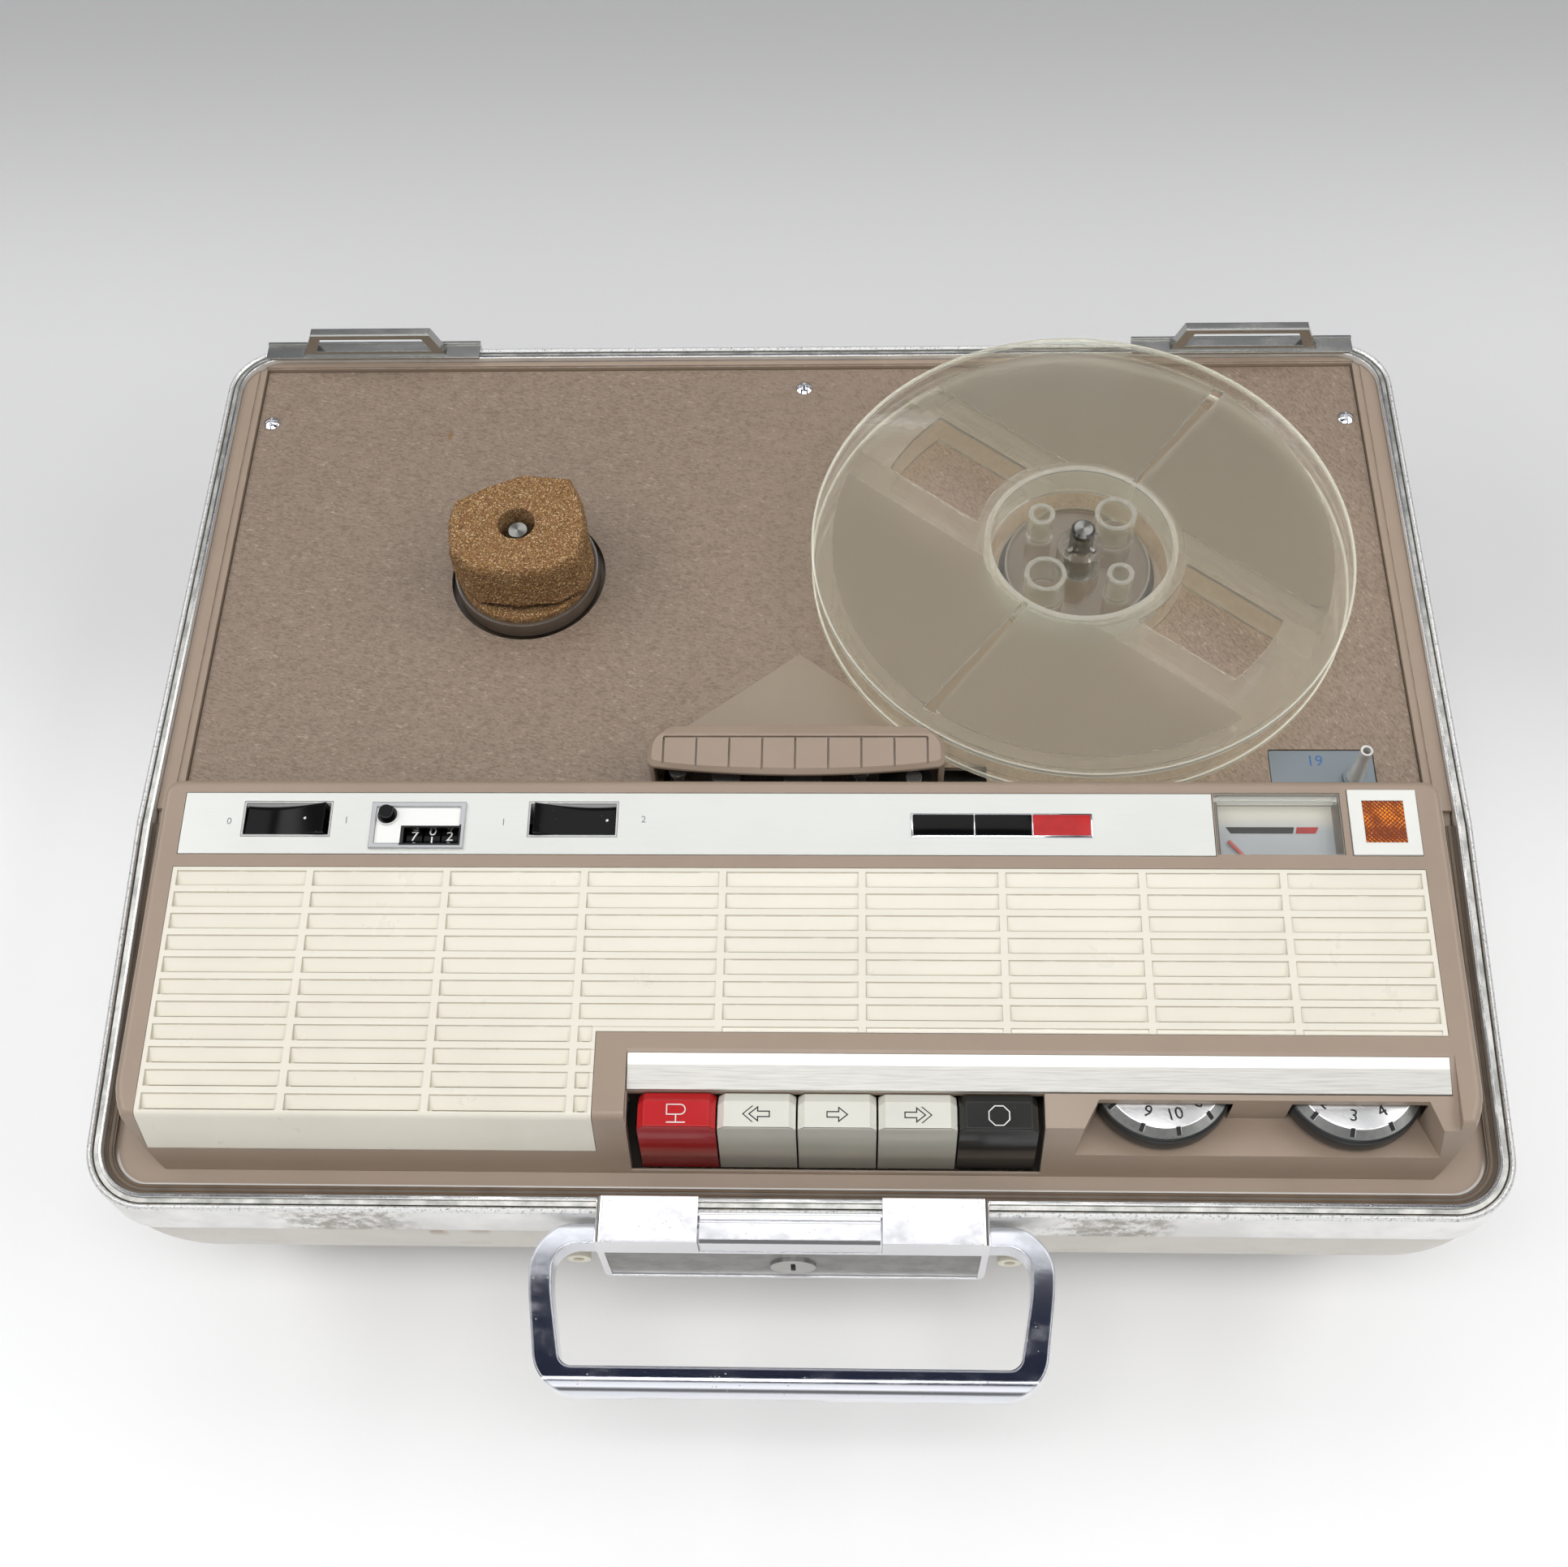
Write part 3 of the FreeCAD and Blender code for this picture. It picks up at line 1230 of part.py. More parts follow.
def make_lid_hinges():
    # plates on the rear rim, each with an upright loop that takes a tongue of the lid
    hinges = []
    for x0, x1 in hinge_spans:
        plate = block(x0, x1, hinge_rear, hinge_front, 0.0, hinge_plate_h)
        fold = block(x0, x1, hinge_rear, case_rear, -8.0, 0.0)
        lip = block(x0, x1, hinge_rear, hinge_rear + 1.2, 0.0, hinge_plate_h + 0.7)
        middle = (x0 + x1) / 2 + (0.9 if x0 < 0 else 0.3)
        low = loop_low_half
        high = loop_high_half
        slant = (low - high) / loop_top
        outline = []
        hole = []
        for sign, h in ((-1, 0.0), (-1, loop_top), (1, loop_top), (1, 0.0)):
            outline.append((middle + sign * (low - slant * h), h))
        for sign, h in ((-1, slot_low), (-1, slot_high), (1, slot_high), (1, slot_low)):
            hole.append((middle + sign * (low - slant * h - loop_side), h))
        loop = front_prism(outline, loop_d0, loop_d1).cut(front_prism(hole, loop_d0 - 2, loop_d1 + 2))
        ridge = [e for e in loop.Edges if e.Length > 2 * high - 1 and h_of(e.CenterOfMass) > loop_top - 0.1]
        loop = loop.makeChamfer(0.5, ridge)
        hinges.append(fuse([plate, fold, lip, loop]))
    return Part.makeCompound(hinges)


lock_x0 = -56.0
lock_x1 = 56.6
lock_top = -9.6
lock_bottom = -45.5
latch_x0 = -26.0
latch_x1 = 25.6
lock_wrap = 3.6
lock_top_r = 2.4
lock_low_r = 3.0
face_inset = 2.0
barrel_x = 0.3
barrel_h = -32.6
barrel_r = 6.6
pivot_r = 2.2


def make_lock_box():
    # its top wraps back over the rim
    depth = lock_front_d - case_d
    body = block(lock_x0, lock_x1, case_d, lock_front_d, lock_bottom, lock_top)
    low = [e for e in body.Edges if abs(e.Length - depth) < 0.01 and h_of(e.CenterOfMass) < lock_bottom + 0.1]
    body = body.makeFillet(lock_low_r, low)
    rear = case_d - lock_wrap
    body = body.fuse(block(lock_x0, lock_x1, rear, case_d + 1, rim_h(rear) + 0.1, lock_top)).removeSplitter()
    depth = depth + lock_wrap
    high = [e for e in body.Edges if abs(e.Length - depth) < 0.01 and h_of(e.CenterOfMass) > lock_top - 0.01]
    body = body.makeFillet(lock_top_r, high)
    slot = block(latch_x0 - 0.5, latch_x1 + 0.5, case_d - 8, 340.0, -19.2, 10.0)
    body = body.cut(slot.cut(block(latch_x0 - 2, latch_x1 + 2, case_d, case_d + 1.2, -19.5, -13.0)))
    face_x0 = lock_x0 + face_inset
    face_x1 = lock_x1 - face_inset
    body = body.cut(block(face_x0, face_x1, lock_front_d - 0.5, 340.0, lock_bottom + 1.2, -20.6))
    body = body.cut(rod_y(barrel_x, case_d + 1.2, 345.0, barrel_h, barrel_r + running_gap))
    for x0, x1 in ((lock_x0 - 1, lock_x0 + 4.5), (lock_x1 - 4.5, lock_x1 + 1)):
        body = body.cut(rod_x(x0, x1, handle_d, handle_h, pivot_r + running_gap))
    return body.removeSplitter()


def make_pull_latch():
    plate = block(latch_x0, latch_x1, case_d + 1.4, lock_front_d - 0.1, -18.6, -10.2)
    edges = [e for e in plate.Edges if abs(e.Length - (latch_x1 - latch_x0)) < 0.5]
    edges = [e for e in edges if d_of(e.CenterOfMass) > lock_front_d - 0.3 and h_of(e.CenterOfMass) > -12.0]
    plate = plate.makeChamfer(1.0, edges)
    groove = block(latch_x0 - 1, latch_x1 + 1, case_d + 3.0, case_d + 3.8, -11.0, -5)
    return plate.cut(groove)


def make_lock_cylinder():
    barrel = rod_y(barrel_x, case_d + 1.6, lock_front_d + 0.5, barrel_h, barrel_r)
    slot = block(barrel_x - 0.7, barrel_x + 0.7, lock_front_d - 3.0, 340.0, barrel_h - 3.4, barrel_h + 3.6)
    return barrel.cut(slot)


handle_rear = 319.9
handle_front = 368.1
handle_bar = 6.4
handle_half = {"rear": 74.8, "middle": 75.1, "front": 70.6}
handle_middle = 337.0
handle_corners = {"outer": (14.0, 12.0), "inner": (7.0, 4.0)}
handle_thick = 8.4
arm_bow_r = 60.0
handle_back_r = 4.6
grip_start = 364.0


def handle_outline(inset, corners, h0, h1):
    # one prism of the handle's outline in plan, with arms that bow outward a little
    rear = handle_rear + inset
    front = handle_front - inset - (0.9 if inset > 0 else 0.0)
    right = []
    for key, d in (("rear", rear), ("middle", handle_middle), ("front", front)):
        right.append((handle_half[key] - inset, d))
    left = [(-x, d) for x, d in reversed(right)]
    body = plan_prism(right + left, h0, h1)
    # the bow of the arms, then the front corners, then the rear ones
    rounds = ((-1.0, 1.0, arm_bow_r), (front - handle_middle - 1.0, 99.0, corners[1]))
    rounds += ((-99.0, rear - handle_middle + 1.0, corners[0]),)
    for low, high, r in rounds:
        upright = []
        for e in body.Edges:
            ahead = d_of(e.CenterOfMass) - handle_middle
            tall = abs(e.Vertexes[0].Point.z - e.Vertexes[-1].Point.z) > 2
            if tall and low < ahead < high and len(e.Vertexes) == 2:
                upright.append(e)
        if upright:
            body = body.makeFillet(r, upright)
    return body


def make_handle():
    h0 = handle_h - handle_thick / 2
    h1 = handle_h + handle_thick / 2
    outer = handle_outline(0.0, handle_corners["outer"], h0, h1)
    inner = handle_outline(handle_bar, handle_corners["inner"], h0 - 2, h1 + 2)
    ring = outer.cut(inner)
    # the front bar's outer face is a rounded grip
    top = vec(-90, grip_start, h1)
    waist = vec(-90, grip_start + 3.2, h1 - 1.9)
    low = vec(-90, handle_front, h1 - 6.2)
    beyond = handle_front + 6.0
    far = [vec(-90, beyond, h1 - 6.2), vec(-90, beyond, h1 + 3), vec(-90, grip_start, h1 + 3)]
    edges = [Part.Arc(top, waist, low).toShape()]
    chain = [low] + far + [top]
    for a, b in zip(chain[:-1], chain[1:]):
        edges.append(Part.LineSegment(a, b).toShape())
    grip = Part.Face(Part.Wire(edges)).extrude(FreeCAD.Vector(180, 0, 0))
    ring = ring.cut(grip)
    gap = block(lock_x0 - 0.4, lock_x1 + 0.4, 300.0, 331.0, -60, 10)
    ring = ring.cut(gap)
    # the back of the arms is round about the pivot, so that it clears the rim as it folds
    behind = block(-90, 90, 300.0, handle_d, -60, 10)
    ring = ring.cut(behind.cut(rod_x(-90, 90, handle_d, handle_h, handle_back_r)))
    pins = []
    for x0, x1 in ((lock_x0 - 6.0, lock_x0 + 4.0), (lock_x1 - 4.0, lock_x1 + 6.0)):
        pins.append(rod_x(x0, x1, handle_d, handle_h, pivot_r))
    handle = ring.fuse(pins)
    slot = block(-44.0, 8.5, 364.6, 371.0, h0 - 1, h0 + 1.6)
    return handle.cut(slot).removeSplitter()


def make_buffers():
    buffers = []
    face_d = case_d - band_t
    for x in buffer_x:
        head = rod_y(x, face_d, case_d + 7.2, buffer_h, buffer_r)
        stem = rod_y(x, face_d - 6.0, face_d + 1.0, buffer_h, buffer_stem_r)
        hole = rod_y(x, case_d + 4.5, case_d + 9.0, buffer_h, 1.6)
        buffers.append(fuse([head, stem]).cut(hole))
    return Part.makeCompound(buffers)


# Electrics

def make_speaker():
    flange_top = 0.0
    frame = block(-176.0, -64.0, 228.0, 288.0, flange_top - 2.0, flange_top)
    frame = frame.cut(cone(-120.0, 258.0, flange_top - 3.0, flange_top + 1, 25.0, 28.0))
    basket = cone(-120.0, 258.0, flange_top - 26.0, flange_top - 1.0, 16.0, 29.0)
    basket = basket.cut(cone(-120.0, 258.0, flange_top - 24.5, flange_top + 1.0, 14.0, 27.5))
    magnet = rod(-120.0, 258.0, flange_top - 40.0, flange_top - 25.5, 21.0)
    dome = rod(-120.0, 258.0, flange_top - 26.0, flange_top - 20.0, 9.0)
    return fuse([frame, basket, magnet, dome])


def make_transformer():
    base = floor_z + wall - rim_z
    core = block(40.0, 94.0, 48.0, 92.0, base, base + 46.0)
    coil = block(48.0, 86.0, 40.0, 100.0, base + 7.0, base + 39.0)
    return fuse([core, coil])


def make_circuit_board():
    board = block(15.0, 165.0, 118.0, 250.0, 20.0 - rim_z, 21.6 - rim_z)
    shapes = [board]
    for x, d in ((22, 124), (158, 124), (22, 244), (158, 244)):
        shapes.append(rod(x, d, 9.0 - rim_z, 20.5 - rim_z, 3.0))
    for i in range(6):
        shapes.append(rod(30.0 + i * 22.0, 135.0, 21.0 - rim_z, 44.0 - rim_z, 6.0 if i % 2 else 8.0))
    for i in range(5):
        shapes.append(block(30.0 + i * 26.0, 42.0 + i * 26.0, 170.0, 182.0, 21.0 - rim_z, 34.0 - rim_z))
    shapes.append(block(30.0, 110.0, 222.0, 226.0, 21.0 - rim_z, 48.0 - rim_z))
    return fuse(shapes)


jack_d = (82.0, 97.0, 112.0)
jack_z = 72.0
jack_bore_r = 3.2
inlet_d0 = 120.5
inlet_d1 = 136.0


def make_socket_panel():
    x_back = 194.0
    x_open = 203.6
    low = socket_z0 - rim_z
    high = socket_z1 - rim_z
    jack_h = jack_z - rim_z
    gap = 0.2
    tray = block(x_back, x_open, socket_d0 + gap, socket_d1 - gap, low + gap, high - gap)
    skin = gap + 2.0
    tray = tray.cut(block(x_back + 2.0, 220.0, socket_d0 + skin, socket_d1 - skin, low + skin, high - skin))
    shapes = [tray]
    for d in jack_d:
        shapes.append(rod_x(x_back - 10.0, x_back + 4.0, d, jack_h, 5.0))
    d0 = inlet_d0 - 1.6
    d1 = inlet_d1 + 1.6
    shapes.append(block(x_back - 12.0, x_back + 3.0, d0, d1, jack_h - 6.6, jack_h + 6.6))
    panel = shapes[0].fuse(shapes[1:])
    cuts = []
    for d in jack_d:
        cuts.append(rod_x(x_back - 8.0, 220.0, d, jack_h, jack_bore_r))
    cuts.append(block(x_back - 9.0, 220.0, inlet_d0, inlet_d1, jack_h - 4.6, jack_h + 4.6))
    panel = panel.cut(cuts)
    pins = []
    for d in (inlet_d0 + 4.2, inlet_d1 - 4.2):
        pins.append(rod_x(x_back - 10.0, x_back - 1.0, d, jack_h, 1.2))
    return panel.fuse(pins).removeSplitter()


key_names = ("record", "rewind", "forward", "fast_forward", "stop")

save("bottom_shell", make_bottom_shell())
save("battery_cover", make_battery_cover())
save("rim_band", make_rim_band())
save("rubber_feet", make_rubber_feet())
save("screws", make_screws())
save("deck_frame", make_deck_frame())
save("deck_plate", make_deck_plate())
save("chassis_plate", make_chassis_plate())
save("console_housing", make_console_housing())
save("speaker_grille", make_speaker_grille())
save("control_strip", make_control_strip())
save("rocker_switches", make_rocker_switches())
save("level_rocker", make_rocker(rocker_centres[0], 1))
save("speed_rocker", make_rocker(rocker_centres[1], -1))
save("counter_frame", make_counter_frame())
for name, x in zip(("hundreds", "tens", "units"), wheel_x):
    save("counter_" + name, make_counter_wheel(x))
save("reset_button", make_reset_button())
save("meter_case", make_meter_case())
save("meter_lens", make_meter_lens())
save("meter_needle", make_meter_needle())
save("lamp_bezel", make_lamp_bezel())
save("lamp_lens", make_lamp_lens())
save("label_strip", make_label_strip())
for index, name in enumerate(key_names):
    save("key_" + name, make_key(index))
save("key_shaft", make_key_shaft())
save("key_springs", make_key_springs())
save("volume_wheel", make_dial(dial_x[0]))
save("tone_wheel", make_dial(dial_x[1]))
save("potentiometers", make_potentiometers())
save("head_cover", make_head_cover())
save("head_plate", make_head_plate())
save("tape_heads", make_tape_heads())
save("pinch_arm", make_pinch_arm())
save("pinch_roller", make_pinch_roller())
save("capstan", make_capstan())
save("drive_belt", make_drive_belt())
save("motor", make_motor())
save("motor_pulley", make_motor_pulley())
save("left_reel_table", Part.makeCompound([make_reel_table(-spindle_x), make_spindle(-spindle_x)]))
save("right_reel_table", Part.makeCompound([make_reel_table(spindle_x), make_spindle(spindle_x)]))
save("tape_reel", make_tape_reel())
save("foam_ring", make_foam_ring())
save("speed_plate", make_speed_plate())
save("capstan_sleeve", make_capstan_sleeve())
save("lid_hinges", make_lid_hinges())
save("lock_box", make_lock_box())
save("pull_latch", make_pull_latch())
save("lock_cylinder", make_lock_cylinder())
save("handle", make_handle())
save("buffers", make_buffers())
save("speaker", make_speaker())
save("transformer", make_transformer())
save("circuit_board", make_circuit_board())
save("socket_panel", make_socket_panel())
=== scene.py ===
import math

import bmesh
import bpy
from mathutils import Matrix, Vector, noise


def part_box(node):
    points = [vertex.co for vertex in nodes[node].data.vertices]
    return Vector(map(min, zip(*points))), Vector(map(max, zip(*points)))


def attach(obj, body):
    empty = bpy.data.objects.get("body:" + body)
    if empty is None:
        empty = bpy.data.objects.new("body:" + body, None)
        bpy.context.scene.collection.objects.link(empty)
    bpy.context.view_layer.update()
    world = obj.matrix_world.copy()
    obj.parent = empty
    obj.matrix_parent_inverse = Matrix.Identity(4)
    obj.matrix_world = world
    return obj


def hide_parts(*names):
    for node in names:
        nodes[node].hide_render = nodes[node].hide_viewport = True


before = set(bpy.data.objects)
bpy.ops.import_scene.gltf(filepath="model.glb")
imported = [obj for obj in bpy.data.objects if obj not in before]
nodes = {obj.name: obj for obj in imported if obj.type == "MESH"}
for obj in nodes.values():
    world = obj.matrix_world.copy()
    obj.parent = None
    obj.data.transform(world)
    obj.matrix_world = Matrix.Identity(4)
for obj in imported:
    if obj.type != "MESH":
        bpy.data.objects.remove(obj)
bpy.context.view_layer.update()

scene = bpy.context.scene
print("frame loaded:", len(nodes), "nodes")

# Places are given as in the part's source, in mm:
# x, d (forward of a line 1 mm behind the case) and h (above the rear rim)
case = {"rear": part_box("rim_band")[1].y * 1000 + 1.0, "back": 1.0, "rim": 120.0, "width": 417.0, "depth": 318.6,
        "corner": 19.0, "kink": 198.0, "rimSlope": 0.128}
console = {"slope": 0.08, "rear": (192.5, 17.6), "rockerD": 206.3, "rockerTop": (-0.6, -0.35),
           "rockerInside": (201.6, 201.4)}
spindleX = 92.7
spindleD = 100.5


def spot(x, d, h):
    return Vector((x, case["rear"] - d, case["rim"] + h)) / 1000


def topH(d):
    return console["rear"][1] - console["slope"] * (d - console["rear"][0])


def rimH(d):
    return -case["rimSlope"] * max(0.0, d - case["kink"])


def paint(*channels):
    # an everyday 0 to 255 colour as the shader wants it
    return tuple(((c / 255 + 0.055) / 1.055) ** 2.4 if c > 10 else c / 3295 for c in channels) + (1.0,)


def dimmed(color, share):
    return tuple(c * share for c in paint(*color)[:3]) + (1.0,)


def maths(operation, swapped=False):
    # makes a method that adds a Math node; swapped puts the other value first
    def run(wire, other=0.0):
        first, second = (other, wire) if swapped else (wire, other)
        return wire.shading.add("ShaderNodeMath", {"operation": operation}, {0: first, 1: second})
    return run


class Wire:
    # a shader socket that takes part in sums
    __add__, __radd__ = maths("ADD"), maths("ADD", True)
    __sub__, __rsub__ = maths("SUBTRACT"), maths("SUBTRACT", True)
    __mul__, __rmul__ = maths("MULTIPLY"), maths("MULTIPLY", True)
    __truediv__ = maths("DIVIDE")
    __pow__ = maths("POWER")
    most = maths("MAXIMUM")
    least = maths("MINIMUM")
    part = maths("FRACT")  # what is left over from whole numbers
    size = maths("ABSOLUTE")  # without its sign

    def __init__(self, shading, socket):
        self.shading = shading
        self.socket = socket

    def rise(self, low, high):
        # 0 below low, 1 above high, smooth between; low above high turns it round
        sockets = {"Value": self, "From Min": low, "From Max": high}
        return self.shading.add("ShaderNodeMapRange", {"interpolation_type": "SMOOTHSTEP"}, sockets)

    def between(self, start, end):
        # 1 between two soft borders; each is given as the places of its 0 and its 1
        return self.rise(*start) * self.rise(*end)


class Shading:
    # the nodes of a finish or of the room
    def __init__(self, tree):
        self.tree = tree

    def add(self, kind, settings=None, sockets=None, out=0):
        node = self.tree.nodes.new(kind)
        for key, value in (settings or {}).items():
            setattr(node, key, value)
        for key, value in (sockets or {}).items():
            self.feed(node.inputs[key], value)
        return Wire(self, node.outputs[out])

    def feed(self, socket, value):
        # a colour of three channels is an everyday one
        if isinstance(value, Wire):
            self.tree.links.new(value.socket, socket)
        elif socket.type == "RGBA" and len(value) == 3:
            socket.default_value = paint(*value)
        else:
            socket.default_value = value

    def mix(self, first, second, share, blend="MIX"):
        settings = {"data_type": "RGBA", "blend_type": blend}
        return self.add("ShaderNodeMix", settings, {0: share, 6: first, 7: second}, 2)

    def coats(self, color, *coats):
        # lays colours over one another, each with its share
        for coat, share in coats:
            color = self.mix(color, coat, share)
        return color


socketNames = {"color": "Base Color", "rough": "Roughness", "metal": "Metallic", "normal": "Normal"}


class Finish(Shading):
    def __init__(self, name, **looks):
        self.material = bpy.data.materials.new(name)
        self.material.use_nodes = True
        super().__init__(self.material.node_tree)
        self.shader = self.tree.nodes["Principled BSDF"]
        self.place = self.add("ShaderNodeTexCoord", out="Object")
        self.set(**looks)

    def set(self, **looks):
        for name, value in looks.items():
            self.feed(self.shader.inputs[socketNames.get(name, name.replace("_", " "))], value)

    def now(self, name):
        # what feeds a socket so far
        return Wire(self, self.shader.inputs[socketNames[name]].links[0].from_socket)

    def overlay(self, color, share, blend="MIX"):
        self.set(color=self.mix(self.now("color"), color, share, blend))

    def scaled(self, size, stretch=(1, 1, 1), turn=0.0, at=(0, 0, 0)):
        # object coordinates counted in steps of so many mm
        scale = [1000 / size / s for s in stretch]
        turned = self.place
        if turn:
            turned = self.add("ShaderNodeVectorRotate", {"rotation_type": "Z_AXIS"},
                              {"Vector": turned, "Angle": math.radians(turn)})
        return self.add("ShaderNodeMapping", None, {"Vector": turned, "Scale": scale, "Location": at})

    def noise(self, size, detail=2.0, rough=0.5, stretch=(1, 1, 1), turn=0.0, warp=0.0):
        sockets = {"Vector": self.scaled(size, stretch, turn), "Scale": 1.0, "Detail": detail,
                   "Roughness": rough, "Distortion": warp}
        return self.add("ShaderNodeTexNoise", None, sockets)

    def cells(self, size, random=1.0, at=(0, 0, 0), turn=0.0, out=0):
        sockets = {"Vector": self.scaled(size, turn=turn, at=at), "Scale": 1.0, "Randomness": random}
        return self.add("ShaderNodeTexVoronoi", None, sockets, out)

    def cellShade(self, size, at=(0, 0, 0)):
        # a random number for each cell
        return self.add("ShaderNodeSeparateColor", None, {0: self.cells(size, at=at, out=1)})

    def rounded(self, radius):
        return self.add("ShaderNodeBevel", {"samples": 4}, {"Radius": radius / 1000})

    def edge(self, radius):
        real = self.add("ShaderNodeNewGeometry", out="Normal")
        sockets = {0: self.rounded(radius), 1: real}
        return 1 - self.add("ShaderNodeVectorMath", {"operation": "DOT_PRODUCT"}, sockets, "Value")

    def bump(self, height, depth, normal=None):
        sockets = {"Height": height, "Distance": depth / 1000}
        if normal:
            sockets["Normal"] = normal
        return self.add("ShaderNodeBump", None, sockets)

    def sides(self):
        # x, d and h of the shaded point, in mm
        parts = self.add("ShaderNodeSeparateXYZ", None, {0: self.place})
        x, y, z = [Wire(self, socket) for socket in parts.socket.node.outputs]
        return x * 1000, case["rear"] - y * 1000, z * 1000 - case["rim"]

    def away(self, x, d):
        # distance in mm from an upright axis
        px, pd = self.sides()[:2]
        return ((px - x) * (px - x) + (pd - d) * (pd - d)) ** 0.5

    def within(self, x0, x1, d0, d1):
        # 1 inside an upright box
        x, d = self.sides()[:2]
        blur = 0.05
        inside = x.between((x0 - blur, x0 + blur), (x1 + blur, x1 - blur))
        return inside * d.between((d0 - blur, d0 + blur), (d1 + blur, d1 - blur))

    def blot(self, x, d, width, depth):
        # a soft patch with a wandering edge
        px, pd = self.sides()[:2]
        reach = (((px - x) / width) * ((px - x) / width) + ((pd - d) / depth) * ((pd - d) / depth)) ** 0.5
        return (reach + self.noise(width * 0.5, 4.0) * 0.9).rise(1.35, 0.75)

    def clearWith(self, film, share):
        # a clear film in which the shader's body has a share
        clear = self.add("ShaderNodeBsdfTransparent", None, {"Color": film})
        return self.blend(share, clear, Wire(self, self.shader.outputs[0]))

    def blend(self, share, first, second):
        return self.add("ShaderNodeMixShader", None, {0: share, 1: first, 2: second})

    def show(self, result):
        self.feed(self.tree.nodes["Material Output"].inputs["Surface"], result)


def plastic(name, color, rough, grain, grainSize, edgeWear, mottled=0.05, edgeRadius=0.35):
    finish = Finish(name)
    dark = dimmed(color, 1 - 2.2 * mottled)
    pale = tuple(c + 0.35 * (1 - c) for c in paint(*color)[:3]) + (1.0,)
    tone = finish.mix(dark, color, finish.noise(26.0, 5.0, 0.6).rise(0.25, 0.62))
    rub = finish.edge(edgeRadius * 1.6).rise(0.03, 0.35) * finish.noise(5.0, 4.0).rise(0.35, 0.7) * edgeWear
    dustAndShade = finish.cells(2.6).rise(0.07, 0.03) * finish.noise(9.0).rise(0.5, 0.7)
    finish.set(color=finish.mix(tone, pale, rub.most(dustAndShade * 0.5)),
               rough=finish.noise(14.0, 4.0, 0.6) * 0.16 + (rough - 0.08),
               normal=finish.bump(finish.noise(grainSize, 2.0), grain, finish.rounded(edgeRadius)))
    return finish


def chrome(name, color=(232, 232, 235), rough=0.05, pits=0.5, radius=0.4):
    finish = Finish(name)
    smear = finish.noise(9.0, 5.0, 0.6, (1.6, 1, 1)).rise(0.45, 0.8)
    pit = finish.cells(1.5).rise(0.13, 0.05) * finish.noise(4.5, 3.0).rise(0.5, 0.62) * pits
    finish.set(color=finish.mix(color, (150, 148, 144), pit), metal=1 - pit * 0.8,
               rough=smear * 0.12 + rough + pit * 0.4, normal=finish.bump(1 - pit, 0.03, finish.rounded(radius)))
    return finish


def brushed(name, color, rough, turn, depth, radius, spread):
    finish = Finish(name, metal=0.85)
    line = finish.noise(0.22, 2.0, 0.6, (spread, 1, 1), turn)
    share = line * 0.5 + finish.noise(18.0, 4.0) * 0.5
    finish.set(color=finish.mix(dimmed(color, 0.86), color, share), rough=line * 0.14 + rough,
               normal=finish.bump(line, depth, finish.rounded(radius)))
    return finish


def plainFinish(name, color, rough, metal=0.0, grainSize=1.5, grain=0.01):
    finish = Finish(name, metal=metal)
    cloud = finish.noise(grainSize * 5, 4.0, 0.6)
    finish.set(color=finish.mix(dimmed(color, 0.76), color, cloud.rise(0.25, 0.65)),
               rough=cloud * 0.14 + (rough - 0.07),
               normal=finish.bump(finish.noise(grainSize, 2.0), grain, finish.rounded(0.25)))
    return finish


# Finishes of the case and the deck; a border is written as the places of its 0 and its 1, in mm

# a stain is x, width and the border below which it fades
shell = {"stains": ((-94, 5.0, (-44, -36)), (-107, 4.0, (-46, -38))), "stainD": 318, "grimeH": (-24, -70)}


def creamShellFinish():
    finish = plastic("creamShell", (216, 212, 202), 0.4, 0.02, 0.4, 0.3, mottled=0.04)
    h = finish.sides()[2]
    marked = finish.noise(22.0, 5.0, 0.65).rise(0.52, 0.75) * h.rise(*shell["grimeH"]) * 0.25
    for x, width, border in shell["stains"]:
        marked = marked.most(finish.blot(x, shell["stainD"], width, 12.0) * h.rise(*border) * 0.7)
    finish.overlay((150, 112, 72), marked)
    return finish


ledge = {"x": 189.5, "d": 299.6, "inner": (9.9, 10.3), "outer": (11.0, 10.7), "front": (299, 304),
         "bottom": (-20.0, -19.5)}


def taupeFinish():
    # painted highlight: the ledge's rounded front edge is painted pale, a line of light caught on it
    finish = plastic("taupePlastic", (156, 138, 121), 0.36, 0.014, 0.5, 0.6, mottled=0.03)
    x, d, h = finish.sides()
    beside = (x.size() - ledge["x"]).most(0.0)
    ahead = (d - ledge["d"]).most(0.0)
    out = (beside * beside + ahead * ahead) ** 0.5
    edge = out.between(ledge["inner"], ledge["outer"]) * d.rise(*ledge["front"]) * h.rise(*ledge["bottom"])
    finish.overlay((238, 232, 226), edge * 0.85)
    return finish


vinyl = {"grain": 0.7, "stretch": (2.6, 1, 1), "turns": (14.0, 58.0), "turnX": (-60, 90),
         "stains": ((-126.1, 38.9, 1.5, 3.0), (-185.0, 27.2, 1.0, 0.9)), "rearD": (12.0, 8.5), "rearX": (-40, -10)}


